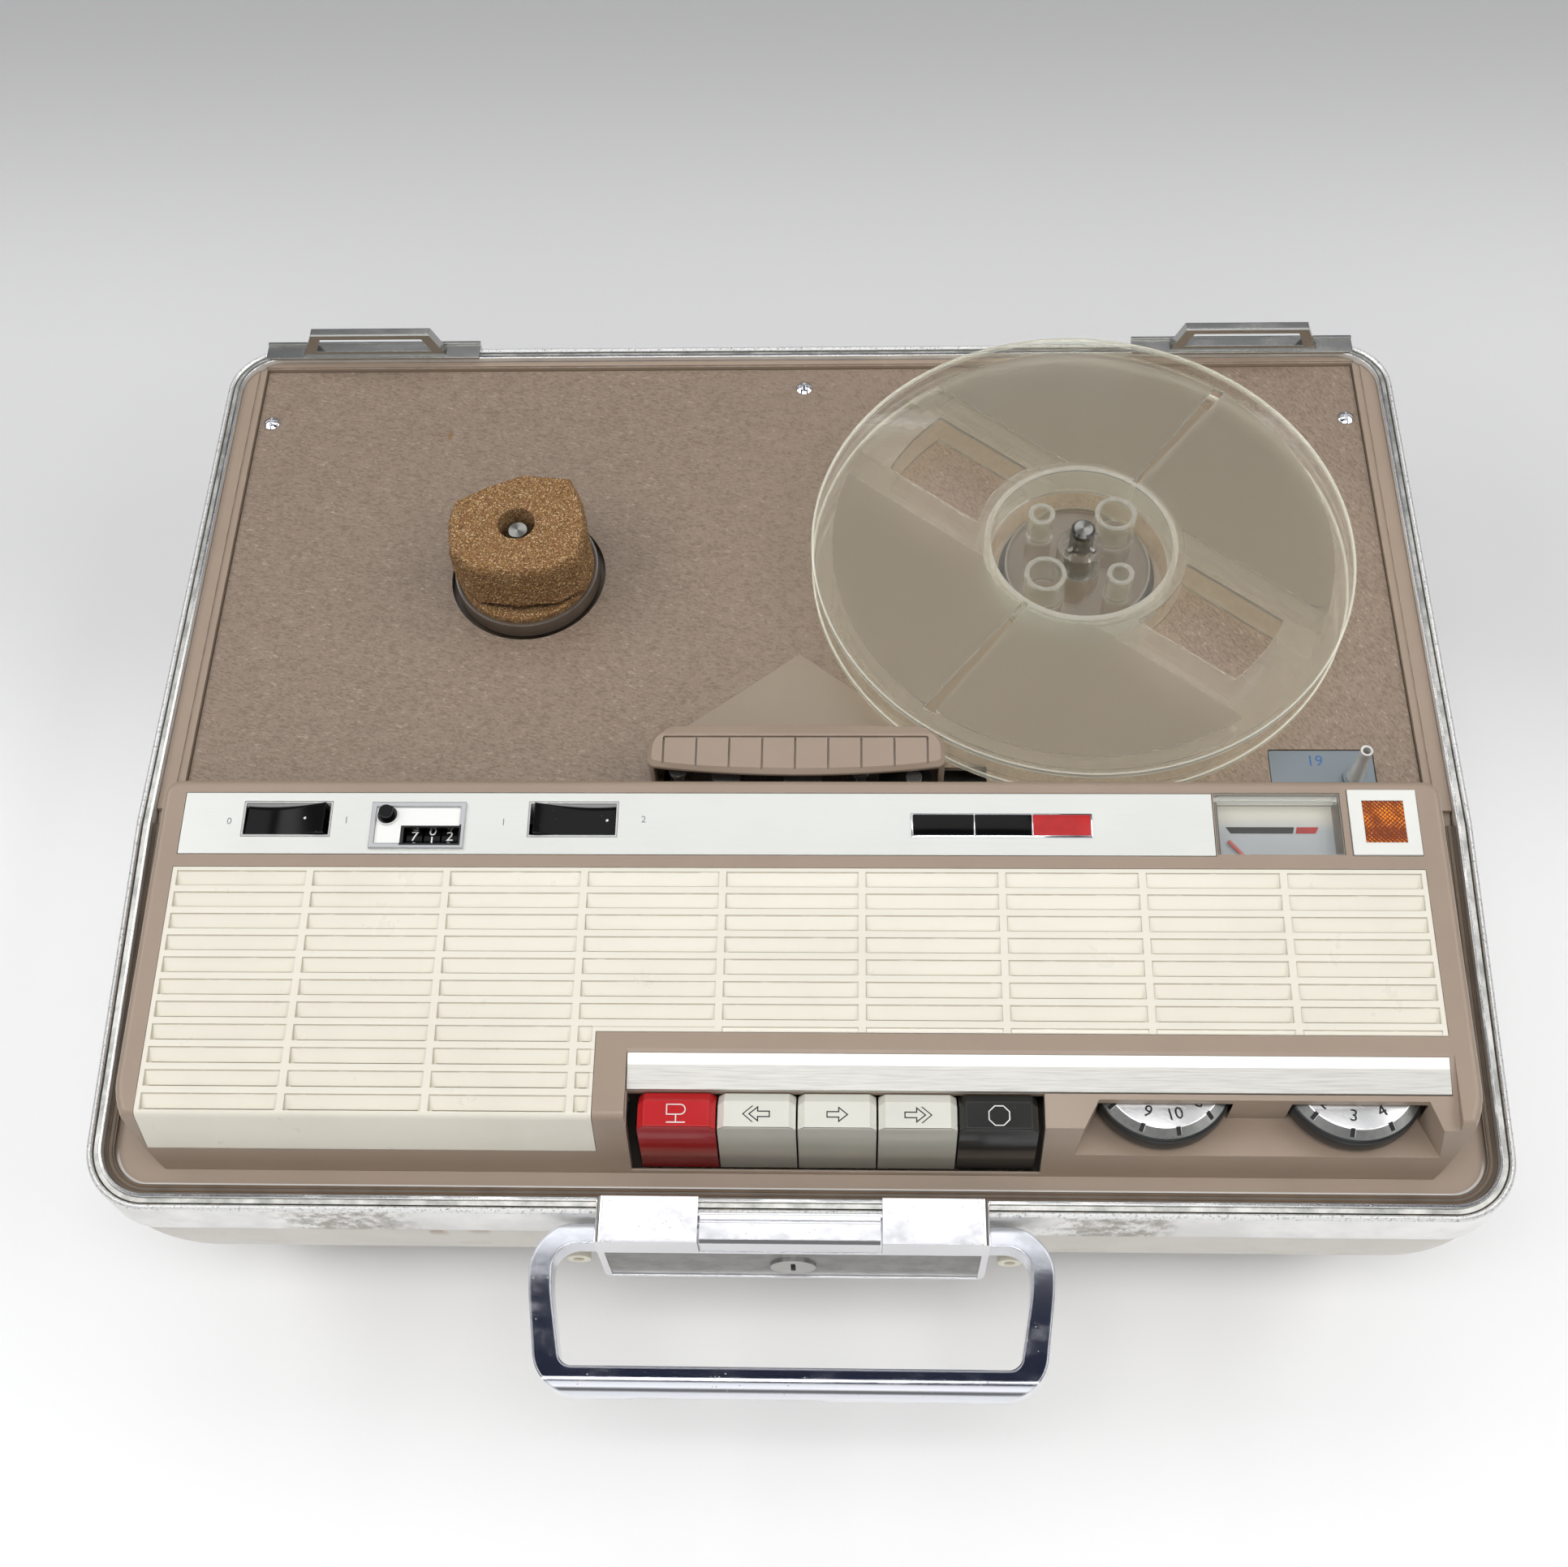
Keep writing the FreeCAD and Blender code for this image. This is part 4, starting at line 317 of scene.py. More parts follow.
def vinylFinish():
    # leather grain in slanting rows that turn from left to right
    finish = Finish("deckVinyl")
    x, d = finish.sides()[:2]
    right = x.rise(*vinyl["turnX"])
    left, other = [finish.noise(vinyl["grain"], 3.0, 0.6, vinyl["stretch"], turn, 0.9) for turn in vinyl["turns"]]
    grain = left * (1 - right) + other * right
    grain = grain + (finish.noise(3.0, 2.0) - 0.5) * 0.25
    speck = finish.cells(3.4).rise(0.06, 0.02) * finish.noise(6.0).rise(0.45, 0.6)
    large, small = [finish.blot(*stain) for stain in vinyl["stains"]]
    rearEdge = d.rise(*vinyl["rearD"]) * x.rise(*vinyl["rearX"]) * finish.noise(3.0, 4.0, 0.7).rise(0.55, 0.7)
    color = finish.coats((120, 103, 88), ((140, 123, 107), grain.rise(0.35, 0.55)),
                         ((184, 168, 150), grain.rise(0.6, 0.74) * 0.6), ((214, 204, 192), speck * 0.6),
                         ((126, 96, 52), large.most(small * 0.5) * 0.75), ((128, 100, 58), rearEdge * 0.6))
    finish.set(color=color, rough=0.54 - grain * 0.22, normal=finish.bump(grain, 0.1))
    return finish


def rimFinishes():
    bead = Finish("rimBead", metal=0.7)
    peck = bead.cells(0.55).rise(0.5, 0.15)
    fleck = bead.noise(0.9, 3.0, 0.7).rise(0.52, 0.68)
    bead.set(color=bead.mix((232, 232, 230), (96, 94, 90), fleck * 0.6), rough=peck * 0.2 + 0.3,
             normal=bead.bump(peck * 0.6 + fleck * 0.4, 0.06))
    groove = Finish("rimGroove", metal=0.6, rough=0.6)
    dirt = groove.noise(3.0, 4.0).rise(0.45, 0.7)
    groove.set(color=groove.mix((58, 58, 52), (104, 92, 74), dirt))
    trough = Finish("rimChannel", metal=0.8)
    haze = trough.noise(7.0, 5.0, 0.6)
    trough.set(color=trough.mix((150, 150, 145), (208, 207, 202), haze.rise(0.3, 0.7)),
               rough=haze * 0.25 + 0.28)
    lip = chrome("rimLip", (240, 240, 238), 0.16, 0.25, 0.3)
    face = Finish("rimFace", metal=0.5)
    cloud = face.noise(24.0, 5.0, 0.6)
    line = face.noise(0.3, 2.0, 0.5, (60, 60, 1))
    smudge = face.blot(-130, 318, 30.0, 20.0).most(face.blot(92, 318, 26.0, 20.0))
    smudge = smudge * face.noise(4.0, 5.0, 0.75).rise(0.4, 0.6) * 0.75
    face.set(color=face.coats((220, 219, 216), ((244, 243, 240), cloud.rise(0.3, 0.7)), ((128, 120, 104), smudge)),
             rough=line * 0.12 + cloud * 0.12 + 0.26, normal=face.bump(line, 0.006, face.rounded(0.3)))
    return [bead, groove, trough, lip, face]


table = {"steel": (5.2, 5.1), "ring": (23.7, 23.8), "ringH": (0.4, 0.6), "tipH": (19.0, 19.5)}


def tableFinish():
    # the turntable and the steel spindle in it are one node, so the finish tells them apart
    finish = Finish("turntable")
    near = finish.away(-spindleX, spindleD).least(finish.away(spindleX, spindleD))
    x, d, h = finish.sides()
    steel = near.rise(*table["steel"])
    ring = near.rise(*table["ring"]) * h.rise(*table["ringH"])
    silver = finish.mix((120, 118, 114), (186, 184, 180), finish.noise(0.5, 2.0, 0.5, (1, 1, 6)))
    # painted highlight: a bright band across the spindle's turned tip
    tipGlint = (((x.size() - spindleX) * 0.8 + (d - spindleD) * 0.6) / (near + 0.05)).size().rise(0.15, 1.0)
    tip = finish.mix((88, 86, 82), (150, 149, 145), tipGlint)
    silver = finish.mix(silver, tip, h.rise(*table["tipH"]))
    color = finish.coats((84, 72, 61), ((112, 98, 86), finish.noise(6.0, 4.0)), (silver, steel.most(ring * 0.8)))
    finish.set(color=color, metal=steel.most(ring * 0.9),
               rough=0.36 - steel * 0.2 + finish.noise(2.0, 3.0) * 0.08,
               normal=finish.bump(finish.noise(0.5), 0.004, finish.rounded(0.25)))
    return finish


def foamFinish():
    # open cells: golden walls with bright and dark grains, and painted shade in the crease
    finish = Finish("agedFoam", rough=0.85)
    shade = finish.cellShade(0.32)
    other = finish.cellShade(0.5, (3, 5, 7))
    patch = finish.noise(3.2, 4.0, 0.6)
    h = finish.sides()[2]
    # painted shade: a near black band in the crease above the disc
    crease = h.between((2.9, 3.5), (5.8, 4.4))
    color = finish.coats((116, 82, 44), ((162, 122, 74), shade.rise(0.05, 0.7)),
                         ((140, 92, 62), patch.rise(0.5, 0.62) * 0.5), ((84, 54, 30), other.rise(0.16, 0.1) * 0.55),
                         ((226, 198, 152), shade.rise(0.84, 0.9) * 0.85), ((52, 34, 20), crease * 0.9))
    holes = finish.cells(0.32).rise(0.6, 0.1) + finish.cells(1.1, at=(9, 2, 4)).rise(0.6, 0.1)
    finish.set(color=color, normal=finish.bump(holes, 0.22))
    return finish


# turned by so many degrees; a tube is its angle and bore radius
reel = {"turn": 51.7, "fieldSide": (24.2, 24.8), "fieldOut": ((32.8, 33.4), (82.2, 81.8)),
        "bandSide": ((14.2, 15.0), (24.6, 23.8)), "bandOut": ((33, 35), (84, 83)), "edge": (88.0, 88.4),
        "hubRing": ((29.5, 29.7), (31.8, 31.6)), "tubes": ((45, 5.4), (135, 2.9), (225, 5.4), (315, 2.9)),
        "tubesOut": 17.3, "tubeTop": (12.6, 13.0), "film": (250, 250, 246), "body": 0.78}


def reelFinish():
    # clear styrene, a little yellow: frosted fields, lined bands beside the windows, glassy hub, and painted
    # highlights in white on the outer edge, the hub ring and the tube walls
    finish = Finish("clearReel", IOR=1.48, Transmission_Weight=1.0)
    x, d, h = finish.sides()
    away = finish.away(spindleX, spindleD)
    c = math.cos(math.radians(reel["turn"]))
    s = math.sin(math.radians(reel["turn"]))
    across = ((x - spindleX) * c - (d - spindleD) * s).size()
    field = across.rise(*reel["fieldSide"]) * away.between(*reel["fieldOut"])
    band = across.between(*reel["bandSide"]) * away.between(*reel["bandOut"])
    lines = finish.noise(0.5, 1.0, 0.5, (1, 40, 1), reel["turn"])
    finish.set(color=finish.mix((247, 247, 241), (231, 229, 221), field),
               rough=0.02 + field * 0.3 + band * 0.14,
               normal=finish.bump(finish.noise(9.0, 2.0) + lines * band, 0.05))
    shadow = finish.add("ShaderNodeLightPath", out="Is Shadow Ray")
    glass = finish.clearWith(reel["film"], reel["body"] - shadow * 0.72)
    paintedHighlight = away.rise(*reel["edge"]).most(away.between(*reel["hubRing"]) * h.rise(2.0, 3.0) * 0.6)
    for angle, radius in reel["tubes"]:
        near = finish.away(spindleX + reel["tubesOut"] * math.cos(math.radians(angle)),
                           spindleD - reel["tubesOut"] * math.sin(math.radians(angle)))
        wall = near.between((radius - 0.5, radius - 0.2), (radius + 2.0, radius + 1.7))
        paintedHighlight = paintedHighlight.most(wall * (h.rise(*reel["tubeTop"]) * 0.4 + 0.15))
    # painted highlight: a share of white diffuse on the marked edges
    highlightWhite = finish.add("ShaderNodeBsdfDiffuse", None, {"Color": (236, 236, 224)})
    finish.show(finish.blend(paintedHighlight * 0.3 * (1 - shadow), glass, highlightWhite))
    return finish


# Finishes of the console

def lensFinish():
    finish = Finish("meterGlass", rough=0.05, IOR=1.49)
    # painted highlight: the lens's edges are painted whiter and less clear
    finish.set(color=finish.mix((225, 228, 226), (255, 255, 252), finish.edge(0.5).rise(0.02, 0.25)),
               normal=finish.rounded(0.35))
    slant = finish.add("ShaderNodeLayerWeight", None, {"Blend": 0.45}, "Fresnel")
    share = (slant * 0.2 + finish.edge(0.6).rise(0.02, 0.3) * 0.5 + 0.02).least(0.95)
    finish.show(finish.clearWith((250, 250, 248), share))
    return finish


grille = {"firstRow": 223.4, "row": 6.87, "firstColumn": -186.1, "column": 41.5, "bar": (39.5, 39.3),
          "rearShade": ((-0.05, 0.05), (0.42, 0.22)), "leftShade": ((-0.05, 0.05), (0.5, 0.2)), "slit": (4.8, 4.6),
          "topD": 250, "below": (2.6, 2.2)}


def grilleFinish():
    # cream plastic with painted shade, in a dusty brown, along the rear and left edge of each cell where its walls
    # shade it
    finish = plastic("creamGrille", (227, 222, 207), 0.3, 0.006, 0.8, 0.15, mottled=0.02)
    x, d, h = finish.sides()
    row = ((d - grille["firstRow"]) / grille["row"]).part() * grille["row"]
    column = ((x - grille["firstColumn"]) / grille["column"]).part() * grille["column"]
    rear = row.between(*grille["rearShade"]) * column.rise(*grille["bar"])
    left = column.between(*grille["leftShade"]) * row.rise(*grille["slit"])
    top = topH(grille["topD"]) - console["slope"] * (d - grille["topD"]) - h
    dustAndShade = rear.most(left * 0.7) * top.rise(*grille["below"]) * finish.noise(6.0, 3.0).rise(0.2, 0.5)
    finish.overlay((168, 148, 116), dustAndShade * 0.5)
    return finish


keyLook = {"bowD": (300.6, 300.8), "bowLow": -2.0, "bow": -0.016, "frontD": (300.72, 300.95), "frontH": (8.7, 8.3),
           "paintedShade": (0.6, 0.58, 0.55, 1.0)}


def keyFinish(name, color):
    # glossy, with a leaning front that is a little bowed and darkened by painted shade
    finish = plastic(name, color, 0.22, 0.002, 0.8, 0.1, mottled=0.03, edgeRadius=0.25)
    d, h = finish.sides()[1:]
    low = (h - keyLook["bowLow"]) * d.rise(*keyLook["bowD"])
    finish.set(normal=finish.bump(low * low * keyLook["bow"], 1.0, finish.rounded(0.25)))
    finish.overlay(keyLook["paintedShade"], d.rise(*keyLook["frontD"]) * h.rise(*keyLook["frontH"]), "MULTIPLY")
    return finish


facePlate = {"d": ((327.3, 327.5), (328.2, 328.0)), "x": 0.3, "side": (54.6, 54.3),
             "h": ((-44.4, -44.2), (-20.5, -20.7))}


def lockBoxFinish():
    # chrome with a dull dark plate let into its face
    finish = chrome("lockChrome")
    x, d, h = finish.sides()
    plate = d.between(*facePlate["d"]) * (x - facePlate["x"]).size().rise(*facePlate["side"])
    plate = plate * h.between(*facePlate["h"])
    cloud = finish.noise(8.0, 4.0, 0.6).rise(0.3, 0.7)
    finish.overlay(finish.mix((108, 106, 104), (134, 132, 129), cloud), plate)
    finish.set(metal=1 - plate * 0.7, rough=finish.now("rough") + plate * 0.3)
    return finish


def labelStripFinish():
    # the upper edge is painted brighter than the brushed, duller lower part: a painted reflection of the light above
    finish = Finish("labelStrip", metal=0.45)
    line = finish.noise(0.22, 2.0, 0.6, (60, 1, 1))
    low = finish.sides()[1].rise(282.4, 282.9)
    scratch = line.rise(0.4, 0.7) * low * 0.5
    finish.set(color=finish.coats((236, 235, 230), ((202, 200, 194), low), ((158, 157, 152), scratch)),
               rough=line * 0.1 + 0.42, normal=finish.bump(line, 0.002, finish.rounded(0.25)))
    return finish


window = {"plate": (-127.3, -101.6, 202.7, 214.6), "well": (-119.6, -101.0, 208.6, 215.4), "middleD": 210,
          "plateDrop": 1.3, "button": (-124.0, 205.3), "buttonHole": (3.1, 3.0)}


def counterFinish():
    # chrome surround, white plate and a black well for the number wheels
    finish = Finish("counterFrame")
    plate = finish.within(*window["plate"])
    sunk = (topH(window["middleD"]) - window["plateDrop"] - finish.sides()[2]).rise(0.0, 0.6)
    hole = finish.away(*window["button"]).rise(*window["buttonHole"])
    well = finish.within(*window["well"]).most(plate * sunk).most(hole)
    finish.set(color=finish.coats((182, 183, 184), ((236, 236, 232), plate), ((12, 12, 12), well)),
               metal=(1 - plate) * 0.6 * (1 - well), rough=finish.noise(14.0, 3.0) * 0.1 + 0.2,
               normal=finish.rounded(0.5))
    return finish


tray = {"inside": (127.4, 162.8, 198.4, 216.6), "floorD": 207, "floorDrop": 5.6, "lighter": (208, 201),
        "wallD": (199.0, 198.8), "wallFootD": 198, "wallFoot": (-5.4, -5.0)}


def meterCaseFinish():
    # a dull case, a white rear wall and a grey floor that is lighter at the rear
    finish = Finish("meterCase")
    d, h = finish.sides()[1:]
    floorH = topH(tray["floorD"]) - tray["floorDrop"]
    floor = (h - floorH + (d - tray["floorD"]) * console["slope"]).rise(0.1, -0.1)
    inner = finish.within(*tray["inside"]) * floor
    tone = finish.mix((186, 190, 198), (226, 222, 214), d.rise(*tray["lighter"]))
    wall = d.rise(*tray["wallD"]) * (h - topH(tray["wallFootD"])).rise(*tray["wallFoot"])
    finish.set(color=finish.coats((120, 110, 100), ((246, 246, 240), wall), (tone, inner)), metal=inner * 0.2,
               rough=finish.noise(3.0, 3.0) * 0.12 + 0.34, normal=finish.rounded(0.3))
    return finish


def rockerFrameFinish():
    finish = Finish("rockerFrame")
    d, h = finish.sides()[1:]
    high = h + (d - console["rockerD"]) * console["slope"] - topH(console["rockerD"])
    top = high.rise(*console["rockerTop"])
    # painted highlight: the inner rear wall is painted near white, standing in for the light that falls on it
    inside = d.rise(*console["rockerInside"]) * (1 - top)
    finish.set(color=finish.coats((14, 14, 14), ((196, 196, 194), top), ((250, 250, 248), inside)), metal=top * 0.35,
               rough=finish.noise(3.0, 3.0) * 0.12 + 0.2, normal=finish.rounded(0.45))
    return finish


def lampFinish():
    finish = Finish("amberLens", rough=0.12, Coat_Weight=0.6, Coat_Roughness=0.05, Emission_Strength=0.3)
    glow = finish.noise(5.5, 3.0)
    grain = finish.cells(0.95, random=0.15, turn=45)
    lit = finish.mix((90, 30, 2), (255, 150, 20), grain.rise(0.5, 0.1) * glow)
    deep = grain.rise(0.55, 0.25) * glow.rise(0.25, 0.6)
    finish.set(color=finish.mix((120, 50, 8), (240, 140, 24), deep), Emission_Color=lit,
               normal=finish.rounded(0.2))
    return finish


chromePlain = chrome("chromePlate")
blackGloss = plastic("blackGloss", (10, 10, 11), 0.14, 0.003, 1.5, 0.06, mottled=0.02)
blackGloss.set(Specular_IOR_Level=0.16)
printBlack = plainFinish("printBlack", (16, 16, 17), 0.6)
printGrey = plainFinish("printGrey", (150, 152, 154), 0.5)
printWhite = plainFinish("printWhite", (236, 236, 232), 0.45)
printBlue = plainFinish("printBlue", (58, 104, 160), 0.5)
printRed = plainFinish("printRed", (188, 14, 16), 0.4)

# each finish with the nodes that wear it
worn = (
    (creamShellFinish(), "bottom_shell", "battery_cover"),
    (taupeFinish(), "deck_frame", "console_housing", "head_cover"),
    (plastic("headPlate", (147, 132, 114), 0.4, 0.008, 0.5, 0.2, mottled=0.02), "head_plate"),
    (vinylFinish(), "deck_plate"),
    (grilleFinish(), "speaker_grille"),
    (chromePlain, "pull_latch", "screws"),
    (chrome("hingeChrome", (188, 188, 184), 0.2, 0.3, 0.5), "lid_hinges"),
    (chrome("chromeHandle", (224, 226, 232), 0.07, 1.6, 1.0), "handle"),
    (lockBoxFinish(), "lock_box"),
    (brushed("turnedSteel", (176, 174, 170), 0.18, 90.0, 0.003, 0.2, 12.0), "lock_cylinder", "capstan", "key_shaft",
     "tape_heads"),
    (plainFinish("paleSleeve", (226, 224, 218), 0.34, 0.35), "capstan_sleeve"),
    (brushed("satinStrip", (228, 229, 223), 0.3, 0.0, 0.002, 0.25, 60.0), "control_strip"),
    (brushed("speedPlate", (136, 144, 149), 0.32, 0.0, 0.002, 0.25, 60.0), "speed_plate"),
    (labelStripFinish(), "label_strip"),
    (blackGloss, "level_rocker", "speed_rocker", "reset_button", "counter_hundreds", "counter_tens", "counter_units"),
    (rockerFrameFinish(), "rocker_switches"),
    (counterFinish(), "counter_frame"),
    (meterCaseFinish(), "meter_case"),
    (lensFinish(), "meter_lens"),
    (plainFinish("needleRed", (214, 84, 74), 0.35), "meter_needle"),
    (plastic("bezelWhite", (228, 228, 222), 0.35, 0.004, 0.8, 0.1, mottled=0.02), "lamp_bezel"),
    (keyFinish("redKey", (186, 30, 34)), "key_record"),
    (keyFinish("whiteKey", (218, 217, 206)), "key_rewind", "key_forward", "key_fast_forward"),
    (keyFinish("blackKey", (40, 40, 38)), "key_stop"),
    (tableFinish(), "left_reel_table", "right_reel_table"),
    (reelFinish(), "tape_reel"),
    (plainFinish("rubberBlack", (36, 36, 36), 0.75, 0.0, 0.8, 0.02), "rubber_feet", "drive_belt", "pinch_roller"),
    (plastic("buffersCream", (232, 226, 206), 0.4, 0.005, 0.8, 0.2), "buffers"),
    (plainFinish("zincSheet", (168, 168, 162), 0.36, 0.8), "chassis_plate", "potentiometers", "pinch_arm"),
    (plainFinish("springWire", (150, 150, 150), 0.3, 0.9), "key_springs"),
    (plainFinish("turnedBrass", (198, 160, 88), 0.28, 0.9), "motor_pulley"),
    (plainFinish("motorCan", (92, 93, 96), 0.42, 0.4), "motor", "speaker"),
    (plainFinish("ironCore", (74, 70, 66), 0.6, 0.3), "transformer"),
    (plainFinish("phenolicBoard", (134, 92, 48), 0.5), "circuit_board"),
    (plastic("blackMatte", (40, 40, 40), 0.5, 0.01, 0.5, 0.3, mottled=0.04), "socket_panel"),
)
finishes = {name: finish for finish, *names in worn for name in names}
for name, finish in finishes.items():
    for holder in nodes[name].material_slots:
        holder.material = finish.material
print("finishes ready")


# Mesh helpers

def linked(name, data):
    thing = bpy.data.objects.new(name, data)
    scene.collection.objects.link(thing)
    return thing


def meshOf(name, bm):
    mesh = bpy.data.meshes.new(name)
    bm.to_mesh(mesh)
    bm.free()
    return mesh


def makePiece(name, bm, body, wear, replaced=(), sharp=32):
    mesh = meshOf(name, bm)
    mesh.shade_smooth()
    mesh.set_sharp_from_angle(angle=math.radians(sharp))
    for finish in wear:
        mesh.materials.append(finish.material)
    piece = linked(name, mesh)
    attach(piece, body)
    if replaced:
        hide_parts(*replaced)
    return piece


def pick(geom, kind):
    return [g for g in geom if isinstance(g, kind)]


def raised(bm, faces, lift):
    # gives flat faces a thickness
    grown = bmesh.ops.extrude_face_region(bm, geom=faces)
    bmesh.ops.translate(bm, verts=pick(grown["geom"], bmesh.types.BMVert), vec=lift)
    bmesh.ops.recalc_face_normals(bm, faces=bm.faces)


def closeUp(bm, near=1e-6):
    # joins points that meet and turns the faces outwards
    bmesh.ops.remove_doubles(bm, verts=bm.verts, dist=near)
    bmesh.ops.recalc_face_normals(bm, faces=bm.faces)


def cut(bm, at, facing, outer=False):
    # cuts the faces; outer takes away what lies past the cut
    geom = bm.verts[:] + bm.edges[:] + bm.faces[:]
    bmesh.ops.bisect_plane(bm, geom=geom, plane_co=at, plane_no=facing, clear_outer=outer, dist=1e-4)


def absorb(bm, other, place=None, material=0):
    # joins a small bmesh to bm; one drawn in mm comes with its place
    if place is not None:
        bmesh.ops.transform(other, matrix=place, verts=other.verts)
    for face in other.faces:
        face.material_index = material
    mesh = meshOf("part", other)
    bm.from_mesh(mesh)
    bpy.data.meshes.remove(mesh)


def surface(origin, right, back):
    # drawing plane in mm: its x runs along right and its y along back
    right = Vector(right).normalized()
    up = right.cross(Vector(back)).normalized()
    back = up.cross(right)
    turn = Matrix((right, back, up)).transposed().to_4x4()
    return Matrix.Translation(origin) @ turn @ Matrix.Scale(0.001, 4)


def onTop(x, d, above):
    return surface(spot(x, d, topH(d) + above), (1, 0, 0), (0, 1, console["slope"]))


# fill is the share of the font's size that a digit is high
lettering = {"fill": 0.7, "depth": 0.06, "merge": 0.0005, "flat": 0.05}


def letters(text, height, depth=lettering["depth"]):
    curve = bpy.data.curves.new("letters", "FONT")
    curve.body = text
    curve.size = height / lettering["fill"]
    curve.extrude = depth / 2
    curve.align_x = "CENTER"
    curve.align_y = "CENTER"
    curve.resolution_u = 4
    holder = bpy.data.objects.new("letters", curve)
    mesh = bpy.data.meshes.new_from_object(holder)
    bm = bmesh.new()
    bm.from_mesh(mesh)
    bmesh.ops.remove_doubles(bm, verts=bm.verts, dist=lettering["merge"])
    bpy.data.objects.remove(holder)
    bpy.data.curves.remove(curve)
    bpy.data.meshes.remove(mesh)
    return bm


def flatFace(points):
    bm = bmesh.new()
    return bm, bm.faces.new([bm.verts.new((x, y, 0)) for x, y in points])


def flatShape(points, depth=lettering["flat"]):
    bm, face = flatFace(points)
    raised(bm, [face], (0, 0, depth))
    return bm


def outlineShape(points, stroke):
    # the border of a flat shape
    bm, face = flatFace(points)
    bm.normal_update()
    bmesh.ops.inset_region(bm, faces=[face], thickness=stroke, use_even_offset=True, use_boundary=True)
    bmesh.ops.delete(bm, geom=[face], context="FACES")
    raised(bm, list(bm.faces), (0, 0, lettering["flat"]))
    return bm


def slopeBlock(x0, x1, d0, d1, above, below, rounding):
    # a block that lies along the console's sloping top
    bm = bmesh.new()
    bmesh.ops.create_cube(bm, size=1.0)
    for vert in bm.verts:
        x = x0 if vert.co.x < 0 else x1
        d = d0 if vert.co.y > 0 else d1
        vert.co = spot(x, d, topH(d) + (above if vert.co.z > 0 else -below))
    bmesh.ops.bevel(bm, geom=bm.edges[:], offset=rounding / 1000, segments=2, profile=0.5, affect="EDGES",
                    material=-1)
    return bm


def lathe(profile, x, d, steps, closed=False):
    # profile points are (radius, height); an open profile has both ends on the axis
    bm = bmesh.new()
    row = [bm.verts.new(spot(x + r, d, h)) for r, h in profile]
    edges = [bm.edges.new(pair) for pair in zip(row, row[1:] + row[:1] if closed else row[1:])]
    bmesh.ops.spin(bm, geom=row + edges, cent=spot(x, d, 0), axis=(0, 0, 1), angle=math.tau, steps=steps,
                   use_merge=True)
    closeUp(bm)
    return bm


# Rim band: a profile drawn round the case

rim = {"profile": ((0.0, -17.5), (0.0, -0.9), (0.25, -0.3), (0.8, 0.0), (1.3, -0.05), (1.72, -0.45), (1.8, -1.1),
                   (2.2, -1.1), (2.25, -0.75), (3.5, -0.7), (3.62, -0.25), (3.8, -0.02), (4.6, 0.0), (4.8, -0.25),
                   (4.8, -3.0), (1.5, -3.0), (1.5, -17.3), (1.3, -17.5)),
       "steps": 14, "borders": (1.8, 2.24, 3.6, math.inf), "faceTop": -1.5, "merge": 1e-5}
bend = {"x": case["width"] / 2 - case["corner"], "rear": case["back"] + case["corner"],
        "front": case["depth"] - case["corner"]}


def insetOf(co):
    # how far a point lies inside the case's outline, in mm
    x = abs(co.x * 1000)
    d = case["rear"] - co.y * 1000
    toSide = case["width"] / 2 - x
    toEnd = min(d - case["back"], case["depth"] - d)
    r = case["corner"]
    if toSide < r and toEnd < r:
        return r - math.hypot(r - toSide, r - toEnd)
    return min(toSide, toEnd)


def drawn(bm, edges, dx, dd):
    # pulls a section along a straight run
    grown = bmesh.ops.extrude_edge_only(bm, edges=edges)
    bmesh.ops.translate(bm, verts=pick(grown["geom"], bmesh.types.BMVert), vec=Vector((dx, -dd, 0)) / 1000)
    return pick(grown["geom"], bmesh.types.BMEdge)


def followRim(bm):
    # the case's top slopes down in front of its kink
    for vert in bm.verts:
        vert.co.z += rimH(case["rear"] - vert.co.y * 1000) / 1000


def turned(bm, edges, x, d):
    # carries a section round a corner of the case
    verts = list({v for e in edges for v in e.verts})
    grown = bmesh.ops.spin(bm, geom=edges + verts, cent=spot(x, d, 0), axis=(0, 0, 1), angle=-math.pi / 2,
                           steps=rim["steps"])
    return pick(grown["geom_last"], bmesh.types.BMEdge)


def makeRimBand():
    bm = bmesh.new()
    row = [bm.verts.new(spot(0, case["back"] + u, w)) for u, w in rim["profile"]]
    edges = [bm.edges.new((row[i - 1], row[i])) for i in range(len(row))]
    edges = drawn(bm, edges, bend["x"], 0)
    for side, start, end in ((1, "rear", "front"), (-1, "front", "rear")):
        edges = turned(bm, edges, side * bend["x"], bend[start])
        edges = drawn(bm, edges, 0, case["kink"] - bend[start])
        edges = turned(bm, drawn(bm, edges, 0, bend[end] - case["kink"]), side * bend["x"], bend[end])
        edges = drawn(bm, edges, -2 * bend["x"] if side > 0 else bend["x"], 0)
    closeUp(bm, rim["merge"])
    for face in bm.faces:
        centre = face.calc_center_median()
        inset = insetOf(centre)
        face.material_index = [inset < border for border in rim["borders"]].index(True)
        if centre.z * 1000 - case["rim"] < rim["faceTop"]:
            face.material_index = 4
    followRim(bm)
    return makePiece("rimBand", bm, "case", rimFinishes(), ["rim_band"])


makeRimBand()

# Front channel between the rim's lip and the deck frame's ledge: inset from and to, drop, and finish

channel = {"bands": ((4.8, 7.9, 1.9, 0), (5.8, 6.1, 1.7, 1), (7.0, 7.35, 1.7, 1)), "thick": 0.5}


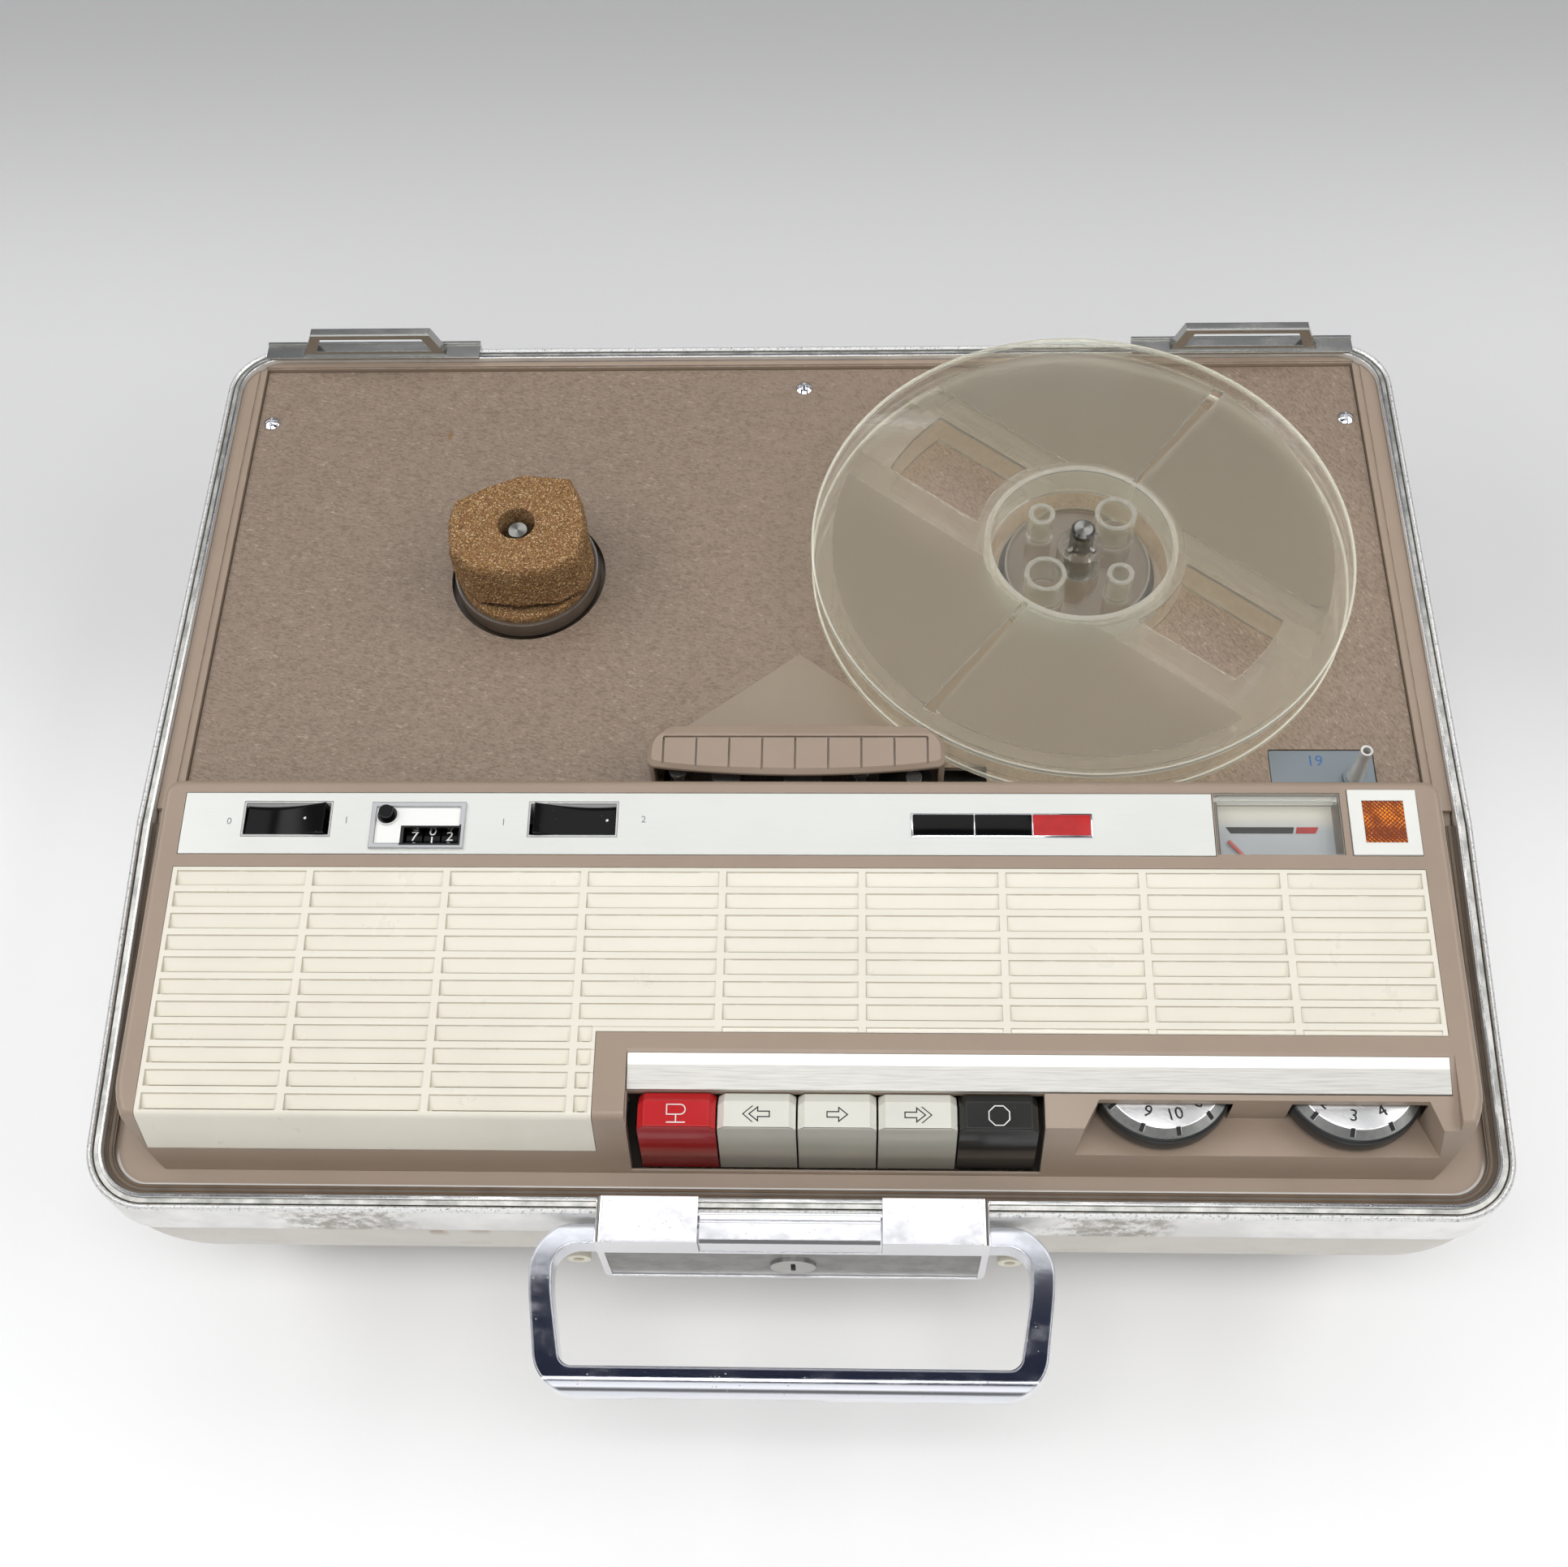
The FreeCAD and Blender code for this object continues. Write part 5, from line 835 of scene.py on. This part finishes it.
def makeFrontChannel():
    bm = bmesh.new()
    straight = bend["front"] - case["kink"]
    for inset0, inset1, drop, material in channel["bands"]:
        strip = bmesh.new()
        ends = [strip.verts.new(spot(case["width"] / 2 - inset, case["kink"], -drop)) for inset in (inset0, inset1)]
        edges = drawn(strip, [strip.edges.new(ends)], 0, straight)
        edges = drawn(strip, turned(strip, edges, bend["x"], bend["front"]), -2 * bend["x"], 0)
        drawn(strip, turned(strip, edges, -bend["x"], bend["front"]), 0, -straight)
        closeUp(strip, rim["merge"])
        raised(strip, list(strip.faces), (0, 0, -channel["thick"] / 1000))
        followRim(strip)
        absorb(bm, strip, material=material)
    dull = plainFinish("channelDull", (100, 92, 82), 0.4, 0.5, 2.0)
    brown = plainFinish("channelBrown", (112, 84, 58), 0.6, 0.1, 2.0)
    makePiece("frontChannel", bm, "case", [dull, brown])


makeFrontChannel()
print("rim ready")


# Foam ring

foam = {"outline": ((0.0, 22.0), (16.5, 20.4), (20.6, 12.0), (23.4, 0.0), (21.6, -13.0), (13.0, -18.6), (0.0, -20.2),
                    (-14.0, -18.2), (-22.0, -10.0), (-23.6, 3.0), (-22.4, 10.6), (-12.0, 17.0)),
        "bore": 6.2, "low": 0.7, "disc": 3.2, "top": 25.0, "radius": 22.8, "edge": 0.4, "bevel": 1.2,
        "crease": 2.6, "creaseTo": 0.14, "soft": 3.4, "softFrom": 0.82, "rows": 54, "topRows": 16, "steps": 380,
        "crumbs": ((900, 0.35), (2100, 0.36)), "sunk": 0.6}


def foamReach(angle):
    # how far the outline is from the spindle in a direction
    ray = Vector((math.cos(angle), math.sin(angle)))
    points = foam["outline"]
    for i in range(len(points)):
        a = Vector(points[i - 1])
        b = Vector(points[i])
        side = b - a
        across = ray.x * side.y - ray.y * side.x
        if abs(across) < 1e-9:
            continue
        reach = (a.x * side.y - a.y * side.x) / across
        share = (a.x * ray.y - a.y * ray.x) / across
        if reach > 0 and -1e-6 <= share <= 1 + 1e-6:
            return reach
    return foam["radius"]


def makeFoam():
    bore, radius, low, disc, top = [foam[key] for key in ("bore", "radius", "low", "disc", "top")]
    profile = [(bore, low), (radius, low), (radius, disc - foam["edge"]), (radius - foam["bevel"], disc)]
    for i in range(foam["rows"] + 1):
        share = i / foam["rows"]
        curl = min(1.0, max(0.0, (share - foam["softFrom"]) / (1 - foam["softFrom"])))
        pulledIn = foam["soft"] * (1 - math.sqrt(1 - curl * curl))
        pulledIn += foam["crease"] * max(0.0, 1 - share / foam["creaseTo"])
        profile.append((radius - pulledIn, disc + (top - disc) * share))
    for i in range(1, foam["topRows"] + 1):
        profile.append((radius - foam["soft"] - (radius - foam["soft"] - bore) * i / foam["topRows"], top))
    profile.append((bore, top * 0.5))
    bm = lathe(profile, -spindleX, spindleD, foam["steps"], True)
    axis = spot(-spindleX, spindleD, 0)
    coarse, fine = foam["crumbs"]
    for vert in bm.verts:
        out = (vert.co - axis) * 1000
        reach = math.hypot(out.x, out.y)
        angle = math.atan2(out.y, out.x)
        if reach > bore + 0.1 and out.z > disc - 0.1:
            share = (reach - bore) / (radius - bore)
            reach = bore + share * (foamReach(angle) - foam["edge"] - bore)
            crumb = noise.noise(vert.co * coarse[0]) * coarse[1]
            crumb += noise.noise(vert.co * fine[0] + Vector((9, 0, 0))) * fine[1]
            reach += crumb * min(1.0, share * 1.5)
            if out.z > top - 0.5:
                out.z += crumb * 0.8 - foam["sunk"]
        vert.co = axis + Vector((reach * math.cos(angle), reach * math.sin(angle), out.z)) / 1000
    piece = makePiece("foamPad", bm, "left_turntable", [foamFinish()], ["foam_ring"], 60)


makeFoam()
print("foam ready")


# Thumbwheels

# first is the number at the front and its angle; a tick's stripes are from x, to x and material
dials = {"x": {"volume": 106.3, "tone": 161.0}, "d": 280.8, "radius": 21.0, "top": 3.2, "base": -6.5, "hub": 5,
         "edge": ((-0.8, -5), (-0.2, -4.6), (0, -4.0), (0, 0.2), (-0.15, 0.9), (-0.6, 1.4), (-1.0, 1.55),
                  (-3.5, 3.05), (-3.9, 3.2)),
         "count": {"volume": 11, "tone": 10}, "first": {"volume": (10, 11.0), "tone": (3, -8.0)},
         "skirtFrom": 1.5, "skirtOut": 1.0, "faceOut": 3.7, "numberSize": 3.5, "numberDepth": 0.24,
         "numberRadius": 13.5, "tick": (17.0, 19.5), "tickX": ((-0.65, 0.55, 3), (0.56, 0.68, 4)), "tickH": 2.62,
         "tickSlope": 0.6, "tickDepth": 0.2, "steps": 144}


def dialFinishes():
    tops = Finish("dialTop", metal=0.75)
    line = tops.noise(0.3, 2.0, 0.5, (30, 1, 1), 20.0)
    tops.set(color=tops.mix((222, 222, 221), (236, 236, 235), line), rough=line * 0.02 + 0.26)
    skirt = Finish("dialSkirt", metal=0.6)
    skirt.set(color=skirt.mix((96, 97, 95), (132, 133, 130), skirt.noise(3.0, 3.0)),
              rough=skirt.noise(2.0, 3.0) * 0.1 + 0.24)
    rimBlack = plastic("dialRim", (26, 27, 27), 0.35, 0.006, 0.6, 0.15)
    return [tops, skirt, rimBlack, printBlack, printWhite]


dialWear = dialFinishes()


def makeDial(name):
    x = dials["x"][name]
    r = dials["radius"]
    profile = [(0, dials["base"]), (dials["hub"], dials["base"]), (dials["hub"], dials["edge"][0][1])]
    profile += [(r + out, h) for out, h in dials["edge"]] + [(0, dials["top"])]
    bm = lathe(profile, x, dials["d"], dials["steps"])
    axis = spot(x, dials["d"], 0)
    for face in bm.faces:
        out = (face.calc_center_median() - axis) * 1000
        radius = math.hypot(out.x, out.y)
        if out.z > dials["skirtFrom"] and radius < r - dials["skirtOut"]:
            face.material_index = 0 if radius < r - dials["faceOut"] else 1
        else:
            face.material_index = 2
    firstNumber, firstAngle = dials["first"][name]
    count = dials["count"][name]
    for i in range(count):
        number = (firstNumber + i) % count if name == "volume" else (firstNumber + i - 1) % count + 1
        angle = math.radians(firstAngle + i * 360 / count)
        ahead = Vector((math.sin(angle), -math.cos(angle), 0))
        right = Vector((math.cos(angle), math.sin(angle), 0))
        at = axis + ahead * dials["numberRadius"] / 1000 + Vector((0, 0, dials["top"] / 1000))
        figure = letters(str(number), dials["numberSize"], dials["numberDepth"])
        absorb(bm, figure, surface(at, right, -ahead), 3)
        r0, r1 = dials["tick"]
        middle = axis + ahead * (r0 + r1) / 2000 + Vector((0, 0, dials["tickH"] / 1000))
        tilt = surface(middle, right, -ahead + Vector((0, 0, dials["tickSlope"])))
        half = (r1 - r0) / 2
        for x0, x1, wear in dials["tickX"]:
            bar = flatShape([(x0, -half), (x1, -half), (x1, half), (x0, half)], dials["tickDepth"])
            absorb(bm, bar, tilt, wear)
    makePiece(name + "Dial", bm, name + "_dial", dialWear, [name + "_wheel"])


makeDial("volume")
makeDial("tone")
print("dials ready")


# Lamp lens: a field of small pyramids

lamp = {"x": (169.9, 182.9), "d": (199.8, 213.7), "pitch": 0.95, "cells": 26, "depth": 0.4, "above": 0.1,
        "thick": 1.5}


def makeLampLens():
    x0, x1 = lamp["x"]
    d0, d1 = lamp["d"]
    bm = bmesh.new()
    count = lamp["cells"]
    bmesh.ops.create_grid(bm, x_segments=count, y_segments=count, size=count * lamp["pitch"] / 2)
    bmesh.ops.rotate(bm, verts=bm.verts, cent=(0, 0, 0), matrix=Matrix.Rotation(math.radians(45), 3, "Z"))
    poked = bmesh.ops.poke(bm, faces=bm.faces)
    for vert in poked["verts"]:
        vert.co.z += lamp["depth"]
    w = (x1 - x0) / 2
    l = (d1 - d0) / 2
    for sign in (1, -1):
        cut(bm, (sign * w, 0, 0), (sign, 0, 0), True)
        cut(bm, (0, sign * l, 0), (0, sign, 0), True)
    grown = bmesh.ops.extrude_edge_only(bm, edges=[e for e in bm.edges if e.is_boundary])
    for vert in pick(grown["geom"], bmesh.types.BMVert):
        vert.co.z = -lamp["thick"]
    rest = [e for e in pick(grown["geom"], bmesh.types.BMEdge) if e.is_boundary]
    bmesh.ops.holes_fill(bm, edges=rest, sides=0)
    bmesh.ops.recalc_face_normals(bm, faces=bm.faces)
    bmesh.ops.transform(bm, matrix=onTop((x0 + x1) / 2, (d0 + d1) / 2, lamp["above"]), verts=bm.verts)
    makePiece("lampLens", bm, "case", [lampFinish()], ["lamp_lens"], 5)


makeLampLens()

# Counter digits, bent round their wheels

counter = {"radius": 6.2, "d": 211.9, "x": {"hundreds": -115.6, "tens": -110.2, "units": -104.8}, "drop": 7.9,
           "shown": {"hundreds": 7, "tens": 0.5, "units": 2}, "lean": 6.0, "height": 3.4, "depth": 0.08, "lift": 0.02,
           "slices": 8, "slice": 0.2}


def makeDigits(name):
    x = counter["x"][name]
    axisH = topH(counter["d"]) - counter["drop"]
    bm = bmesh.new()
    for digit in range(10):
        angle = math.radians((counter["shown"][name] - digit) * 36 + counter["lean"])
        part = letters(str(digit), counter["height"], counter["depth"])
        for step in range(-counter["slices"], counter["slices"] + 1):
            cut(part, (0, step * counter["slice"], 0), (0, 1, 0))
        for vert in part.verts:
            turn = vert.co.y / counter["radius"] + angle
            r = counter["radius"] + counter["lift"] + vert.co.z
            vert.co = spot(x + vert.co.x, counter["d"] - r * math.sin(turn), axisH + r * math.cos(turn))
        absorb(bm, part)
    bmesh.ops.recalc_face_normals(bm, faces=bm.faces)
    makePiece(name + "Digits", bm, name + "_wheel", [printWhite])


for name in counter["x"]:
    makeDigits(name)

# Marks on the control strip: dots on the paddles, plain numbers beside them, and a blank badge

marks = {"numbers": (("0", -172.6, 207.2), ("1", -136.6, 206.8), ("1", -88.4, 207.4), ("2", -45.8, 206.4)),
         "height": 2.2, "lift": 0.02, "badge": (35.0, 89.5, 204.4, 212.3), "badgeTop": 0.7, "badgeBevel": 0.25,
         "panels": ((35.7, 53.9), (54.3, 71.3), (71.7, 88.9)), "border": 0.6, "panelTop": 0.85, "panelBevel": 0.12}


def makeStripMarks():
    bm = bmesh.new()
    for text, x, d in marks["numbers"]:
        absorb(bm, letters(text, marks["height"]), onTop(x, d, marks["lift"]))
    makePiece("stripNumbers", bm, "case", [printGrey])
    x0, x1, d0, d1 = marks["badge"]
    bm = slopeBlock(x0, x1, d0, d1, marks["badgeTop"], 0.3, marks["badgeBevel"])
    for index, (a, b) in enumerate(marks["panels"]):
        panel = slopeBlock(a, b, d0 + marks["border"], d1 - marks["border"], marks["panelTop"], 0.2,
                           marks["panelBevel"])
        absorb(bm, panel, material=2 if index == 2 else 1)
    makePiece("blankBadge", bm, "case", [chromePlain, blackGloss, printRed])


makeStripMarks()


# a dot is its name, body, the paddle's middle, its place along the paddle and the end that is up
paddles = {"pinDrop": 4.5, "rise": 4.6, "dish": 1.6, "half": 12.4, "tilt": 7.0, "dotD": 205.8, "dotRadius": 0.45,
           "dots": (("levelDot", "level_paddle", -154.9, 5.8, 1), ("speedDot", "speed_paddle", -67.3, 9.8, -1))}


def onPaddle(centreX, reach, sign):
    # height of the dished paddle at so many mm from its middle
    share = reach / paddles["half"]
    local = paddles["rise"] - paddles["dish"] * (1 - share * share)
    tilt = math.radians(-sign * paddles["tilt"])
    x = centreX + reach * math.cos(tilt) + local * math.sin(tilt)
    h = topH(console["rockerD"]) - paddles["pinDrop"] - reach * math.sin(tilt) + local * math.cos(tilt)
    lean = tilt - math.atan(2 * paddles["dish"] * reach / paddles["half"] ** 2)
    return x, h, lean


def makeDot(name, body, centreX, reach, sign):
    x, h, lean = onPaddle(centreX, reach, sign)
    bm = bmesh.new()
    bmesh.ops.create_circle(bm, cap_ends=True, radius=paddles["dotRadius"], segments=20)
    raised(bm, list(bm.faces), (0, 0, 0.12))
    place = surface(spot(x, paddles["dotD"], h - 0.04), (math.cos(lean), 0, -math.sin(lean)), (0, 1, 0))
    bmesh.ops.transform(bm, matrix=place, verts=bm.verts)
    makePiece(name, bm, body, [printWhite])


for dot in paddles["dots"]:
    makeDot(*dot)


# Meter scale: a black and a red bar

meter = {"bars": (((130.3, 205.4), (150.9, 205.4), (150.4, 207.5), (131.7, 207.5)),
                  ((151.7, 205.4), (158.3, 205.4), (157.2, 207.5), (151.2, 207.5))), "depth": 5.95, "thick": 0.05}


def makeMeterScale():
    bm = bmesh.new()
    for material, bar in enumerate(meter["bars"]):
        part = bmesh.new()
        face = part.faces.new([part.verts.new(spot(x, d, topH(d) - meter["depth"])) for x, d in bar])
        raised(part, [face], (0, 0, meter["thick"] / 1000))
        absorb(bm, part, material=material)
    makePiece("meterBars", bm, "case", [printBlack, printRed])


makeMeterScale()

# Marks on the keys

keys = {"x0": -32.4, "pitch": 22.8, "d": 296.9, "faceD": (293.2, 300.7), "faceH": (9.2, 8.6), "stroke": 0.33,
        "width": 22.24, "chamfer": 1.9, "front": ((300.77, 8.63), (301.06, 6.7), (304.36, -15.6)),
        "slots": {"record": "red_key", "rewind": "white_key", "forward": "white_key", "fast_forward": "white_key",
                  "stop": "black_key"}}


def arrow(direction, shift=0.0):
    # outlined arrow with a short tail
    points = [(-3.0, -0.95), (0.3, -0.95), (0.3, -2.35), (3.2, 0.0), (0.3, 2.35), (0.3, 0.95), (-3.0, 0.95)]
    points = [((x - shift) * direction, y) for x, y in points]
    return outlineShape(points if direction > 0 else points[::-1], keys["stroke"])


def chevron(direction, shift):
    points = [(0, -2.35), (0.45, -2.35), (3.2, 0), (0.45, 2.35), (0, 2.35), (2.75, 0)]
    points = [((x + shift) * direction, y) for x, y in points]
    return flatShape(points if direction > 0 else points[::-1])


def recordMark():
    # a half-round head on a stem with a foot
    dome = [(1.2 + 1.6 * math.sin(a), 1.15 - 1.6 * math.cos(a)) for a in [math.pi * i / 10 for i in range(11)]]
    bm = outlineShape([(-2.8, -0.45)] + dome + [(-2.8, 2.75)], keys["stroke"])
    for x0, x1, y0, y1 in ((-0.17, 0.17, -2.4, -0.45), (-2.7, 2.7, -2.75, -2.4)):
        absorb(bm, flatShape([(x0, y0), (x1, y0), (x1, y1), (x0, y1)]))
    return bm


def stopMark():
    points = [(3.3 * math.cos(a), 3.2 * math.sin(a)) for a in [math.pi / 8 + math.pi / 4 * i for i in range(8)]]
    return outlineShape(points, keys["stroke"])


def withChevron(direction):
    bm = arrow(direction, 0.85)
    absorb(bm, chevron(direction, 0.85))
    return bm


signs = {"record": (recordMark, printWhite), "rewind": (lambda: withChevron(-1), printBlack),
         "forward": (lambda: arrow(1), printBlack), "fast_forward": (lambda: withChevron(1), printBlack),
         "stop": (stopMark, printWhite)}


def makeKeyMark(name, x, slot):
    slope = (keys["faceH"][0] - keys["faceH"][1]) / (keys["faceD"][1] - keys["faceD"][0])
    h = keys["faceH"][0] - slope * (keys["d"] - keys["faceD"][0])
    draw, color = signs[name]
    bm = draw()
    place = surface(spot(x, keys["d"], h - 0.01), (1, 0, 0), (0, 1, slope))
    bmesh.ops.transform(bm, matrix=place, verts=bm.verts)
    makePiece(name + "Mark", bm, name + "_key", [color])


def makeKeyFront(name, x, slot):
    # squares the front's upright corners
    half = keys["width"] / 2
    bm = bmesh.new()
    for side in (-1, 1):
        for d, h in keys["front"]:
            reach = half if h < 8 else half - keys["chamfer"]
            for back in (0.0, keys["chamfer"]):
                bm.verts.new(spot(x + side * reach, d - back, h))
    hull = bmesh.ops.convex_hull(bm, input=bm.verts)
    bmesh.ops.delete(bm, geom=hull["geom_interior"] + hull["geom_unused"], context="VERTS")
    bmesh.ops.dissolve_limit(bm, angle_limit=0.001, verts=bm.verts, edges=bm.edges)
    bmesh.ops.recalc_face_normals(bm, faces=bm.faces)
    makePiece(name + "Front", bm, name + "_key", [finishes["key_" + name]])


for make in (makeKeyMark, makeKeyFront):
    for index, (name, slot) in enumerate(keys["slots"].items()):
        make(name, keys["x0"] + index * keys["pitch"], slot)


plateNumber = {"text": "19", "at": (164.0, 173.4, -4.3), "height": 3.8}


def makePlateNumber():
    bm = letters(plateNumber["text"], plateNumber["height"])
    bmesh.ops.transform(bm, matrix=surface(spot(*plateNumber["at"]), (1, 0, 0), (0, 1, 0)), verts=bm.verts)
    makePiece("plateNumber", bm, "case", [printBlue])


makePlateNumber()
print("marks ready")


# Floor, light and camera

# a softbox is x, y, z, width, length and power; the room's wall goes over into a dark ceiling
stage = {"size": 6.0, "floor": (245, 245, 245),
         "floorShade": (((213, 213, 213), (180, -20)), ((176, 176, 176), (-100, -380))),
         "wall": (0.2, 0.2, 0.202, 1), "ceiling": (0.02, 0.024, 0.045, 1), "wallTop": (0.55, 0.75),
         "softboxes": {"rear": (0.0, 0.9075, 1.7, 1.5, 1.185, 8.0), "front": (0.0, -0.41, 1.7, 1.0, 0.35, 8.0),
                       "low": (0.0, -1.75, 1.3, 1.7, 1.9, 11.0),
                       "left": (-1.55, 0.0, 1.6, 1.3, 2.0, 25.0), "right": (1.55, 0.0, 1.6, 1.3, 2.0, 25.0)}}


def makeFloor():
    bm = bmesh.new()
    bmesh.ops.create_grid(bm, x_segments=1, y_segments=1, size=stage["size"])
    floor = linked("floor", meshOf("floor", bm))
    finish = Finish("paleFloor", rough=0.9, Specular_IOR_Level=0.1)
    d = finish.sides()[1]
    # painted shade: the floor grows darker towards the rear, standing in for the light falling off
    shadeCoats = [(tone, d.rise(*border)) for tone, border in stage["floorShade"]]
    finish.set(color=finish.coats(stage["floor"], *shadeCoats))
    floor.data.materials.append(finish.material)


def makeWorld():
    world = bpy.data.worlds.new("studio")
    scene.world = world
    world.use_nodes = True
    room = Shading(world.node_tree)
    height = room.add("ShaderNodeSeparateXYZ", None, {0: room.add("ShaderNodeTexCoord", out="Generated")}, "Z")
    color = room.mix(stage["wall"], stage["ceiling"], height.rise(*stage["wallTop"]))
    room.feed(room.tree.nodes["Background"].inputs["Color"], color)


def makeLight(name, x, y, z, width, length, power):
    data = bpy.data.lights.new(name, "AREA")
    data.shape = "RECTANGLE"
    data.size = width
    data.size_y = length
    data.energy = power
    linked(name, data).location = (x, y, z)


view = {"at": (0.016857, -0.30097, 0.64333), "yaw": -0.0696743, "pitch": 1.0487686, "roll": -0.0591667,
        "lens": 43.93}


def makeCamera():
    data = bpy.data.cameras.new("camera")
    data.sensor_fit = "HORIZONTAL"
    data.sensor_width = 36.0
    data.lens = view["lens"]
    camera = linked("camera", data)
    yaw, pitch, roll = view["yaw"], view["pitch"], view["roll"]
    ahead = Vector((math.sin(yaw) * math.cos(pitch), math.cos(yaw) * math.cos(pitch), -math.sin(pitch)))
    right = Vector((math.cos(yaw), -math.sin(yaw), 0))
    up = right.cross(ahead)
    across = math.cos(roll) * right + math.sin(roll) * up
    upright = -math.sin(roll) * right + math.cos(roll) * up
    turn = Matrix((across, upright, -ahead)).transposed().to_4x4()
    camera.matrix_world = Matrix.Translation(view["at"]) @ turn
    scene.camera = camera


makeFloor()
makeWorld()
for name, measures in stage["softboxes"].items():
    makeLight(name + "Softbox", *measures)
makeCamera()
scene.view_settings.view_transform = "Standard"
print("stage ready")
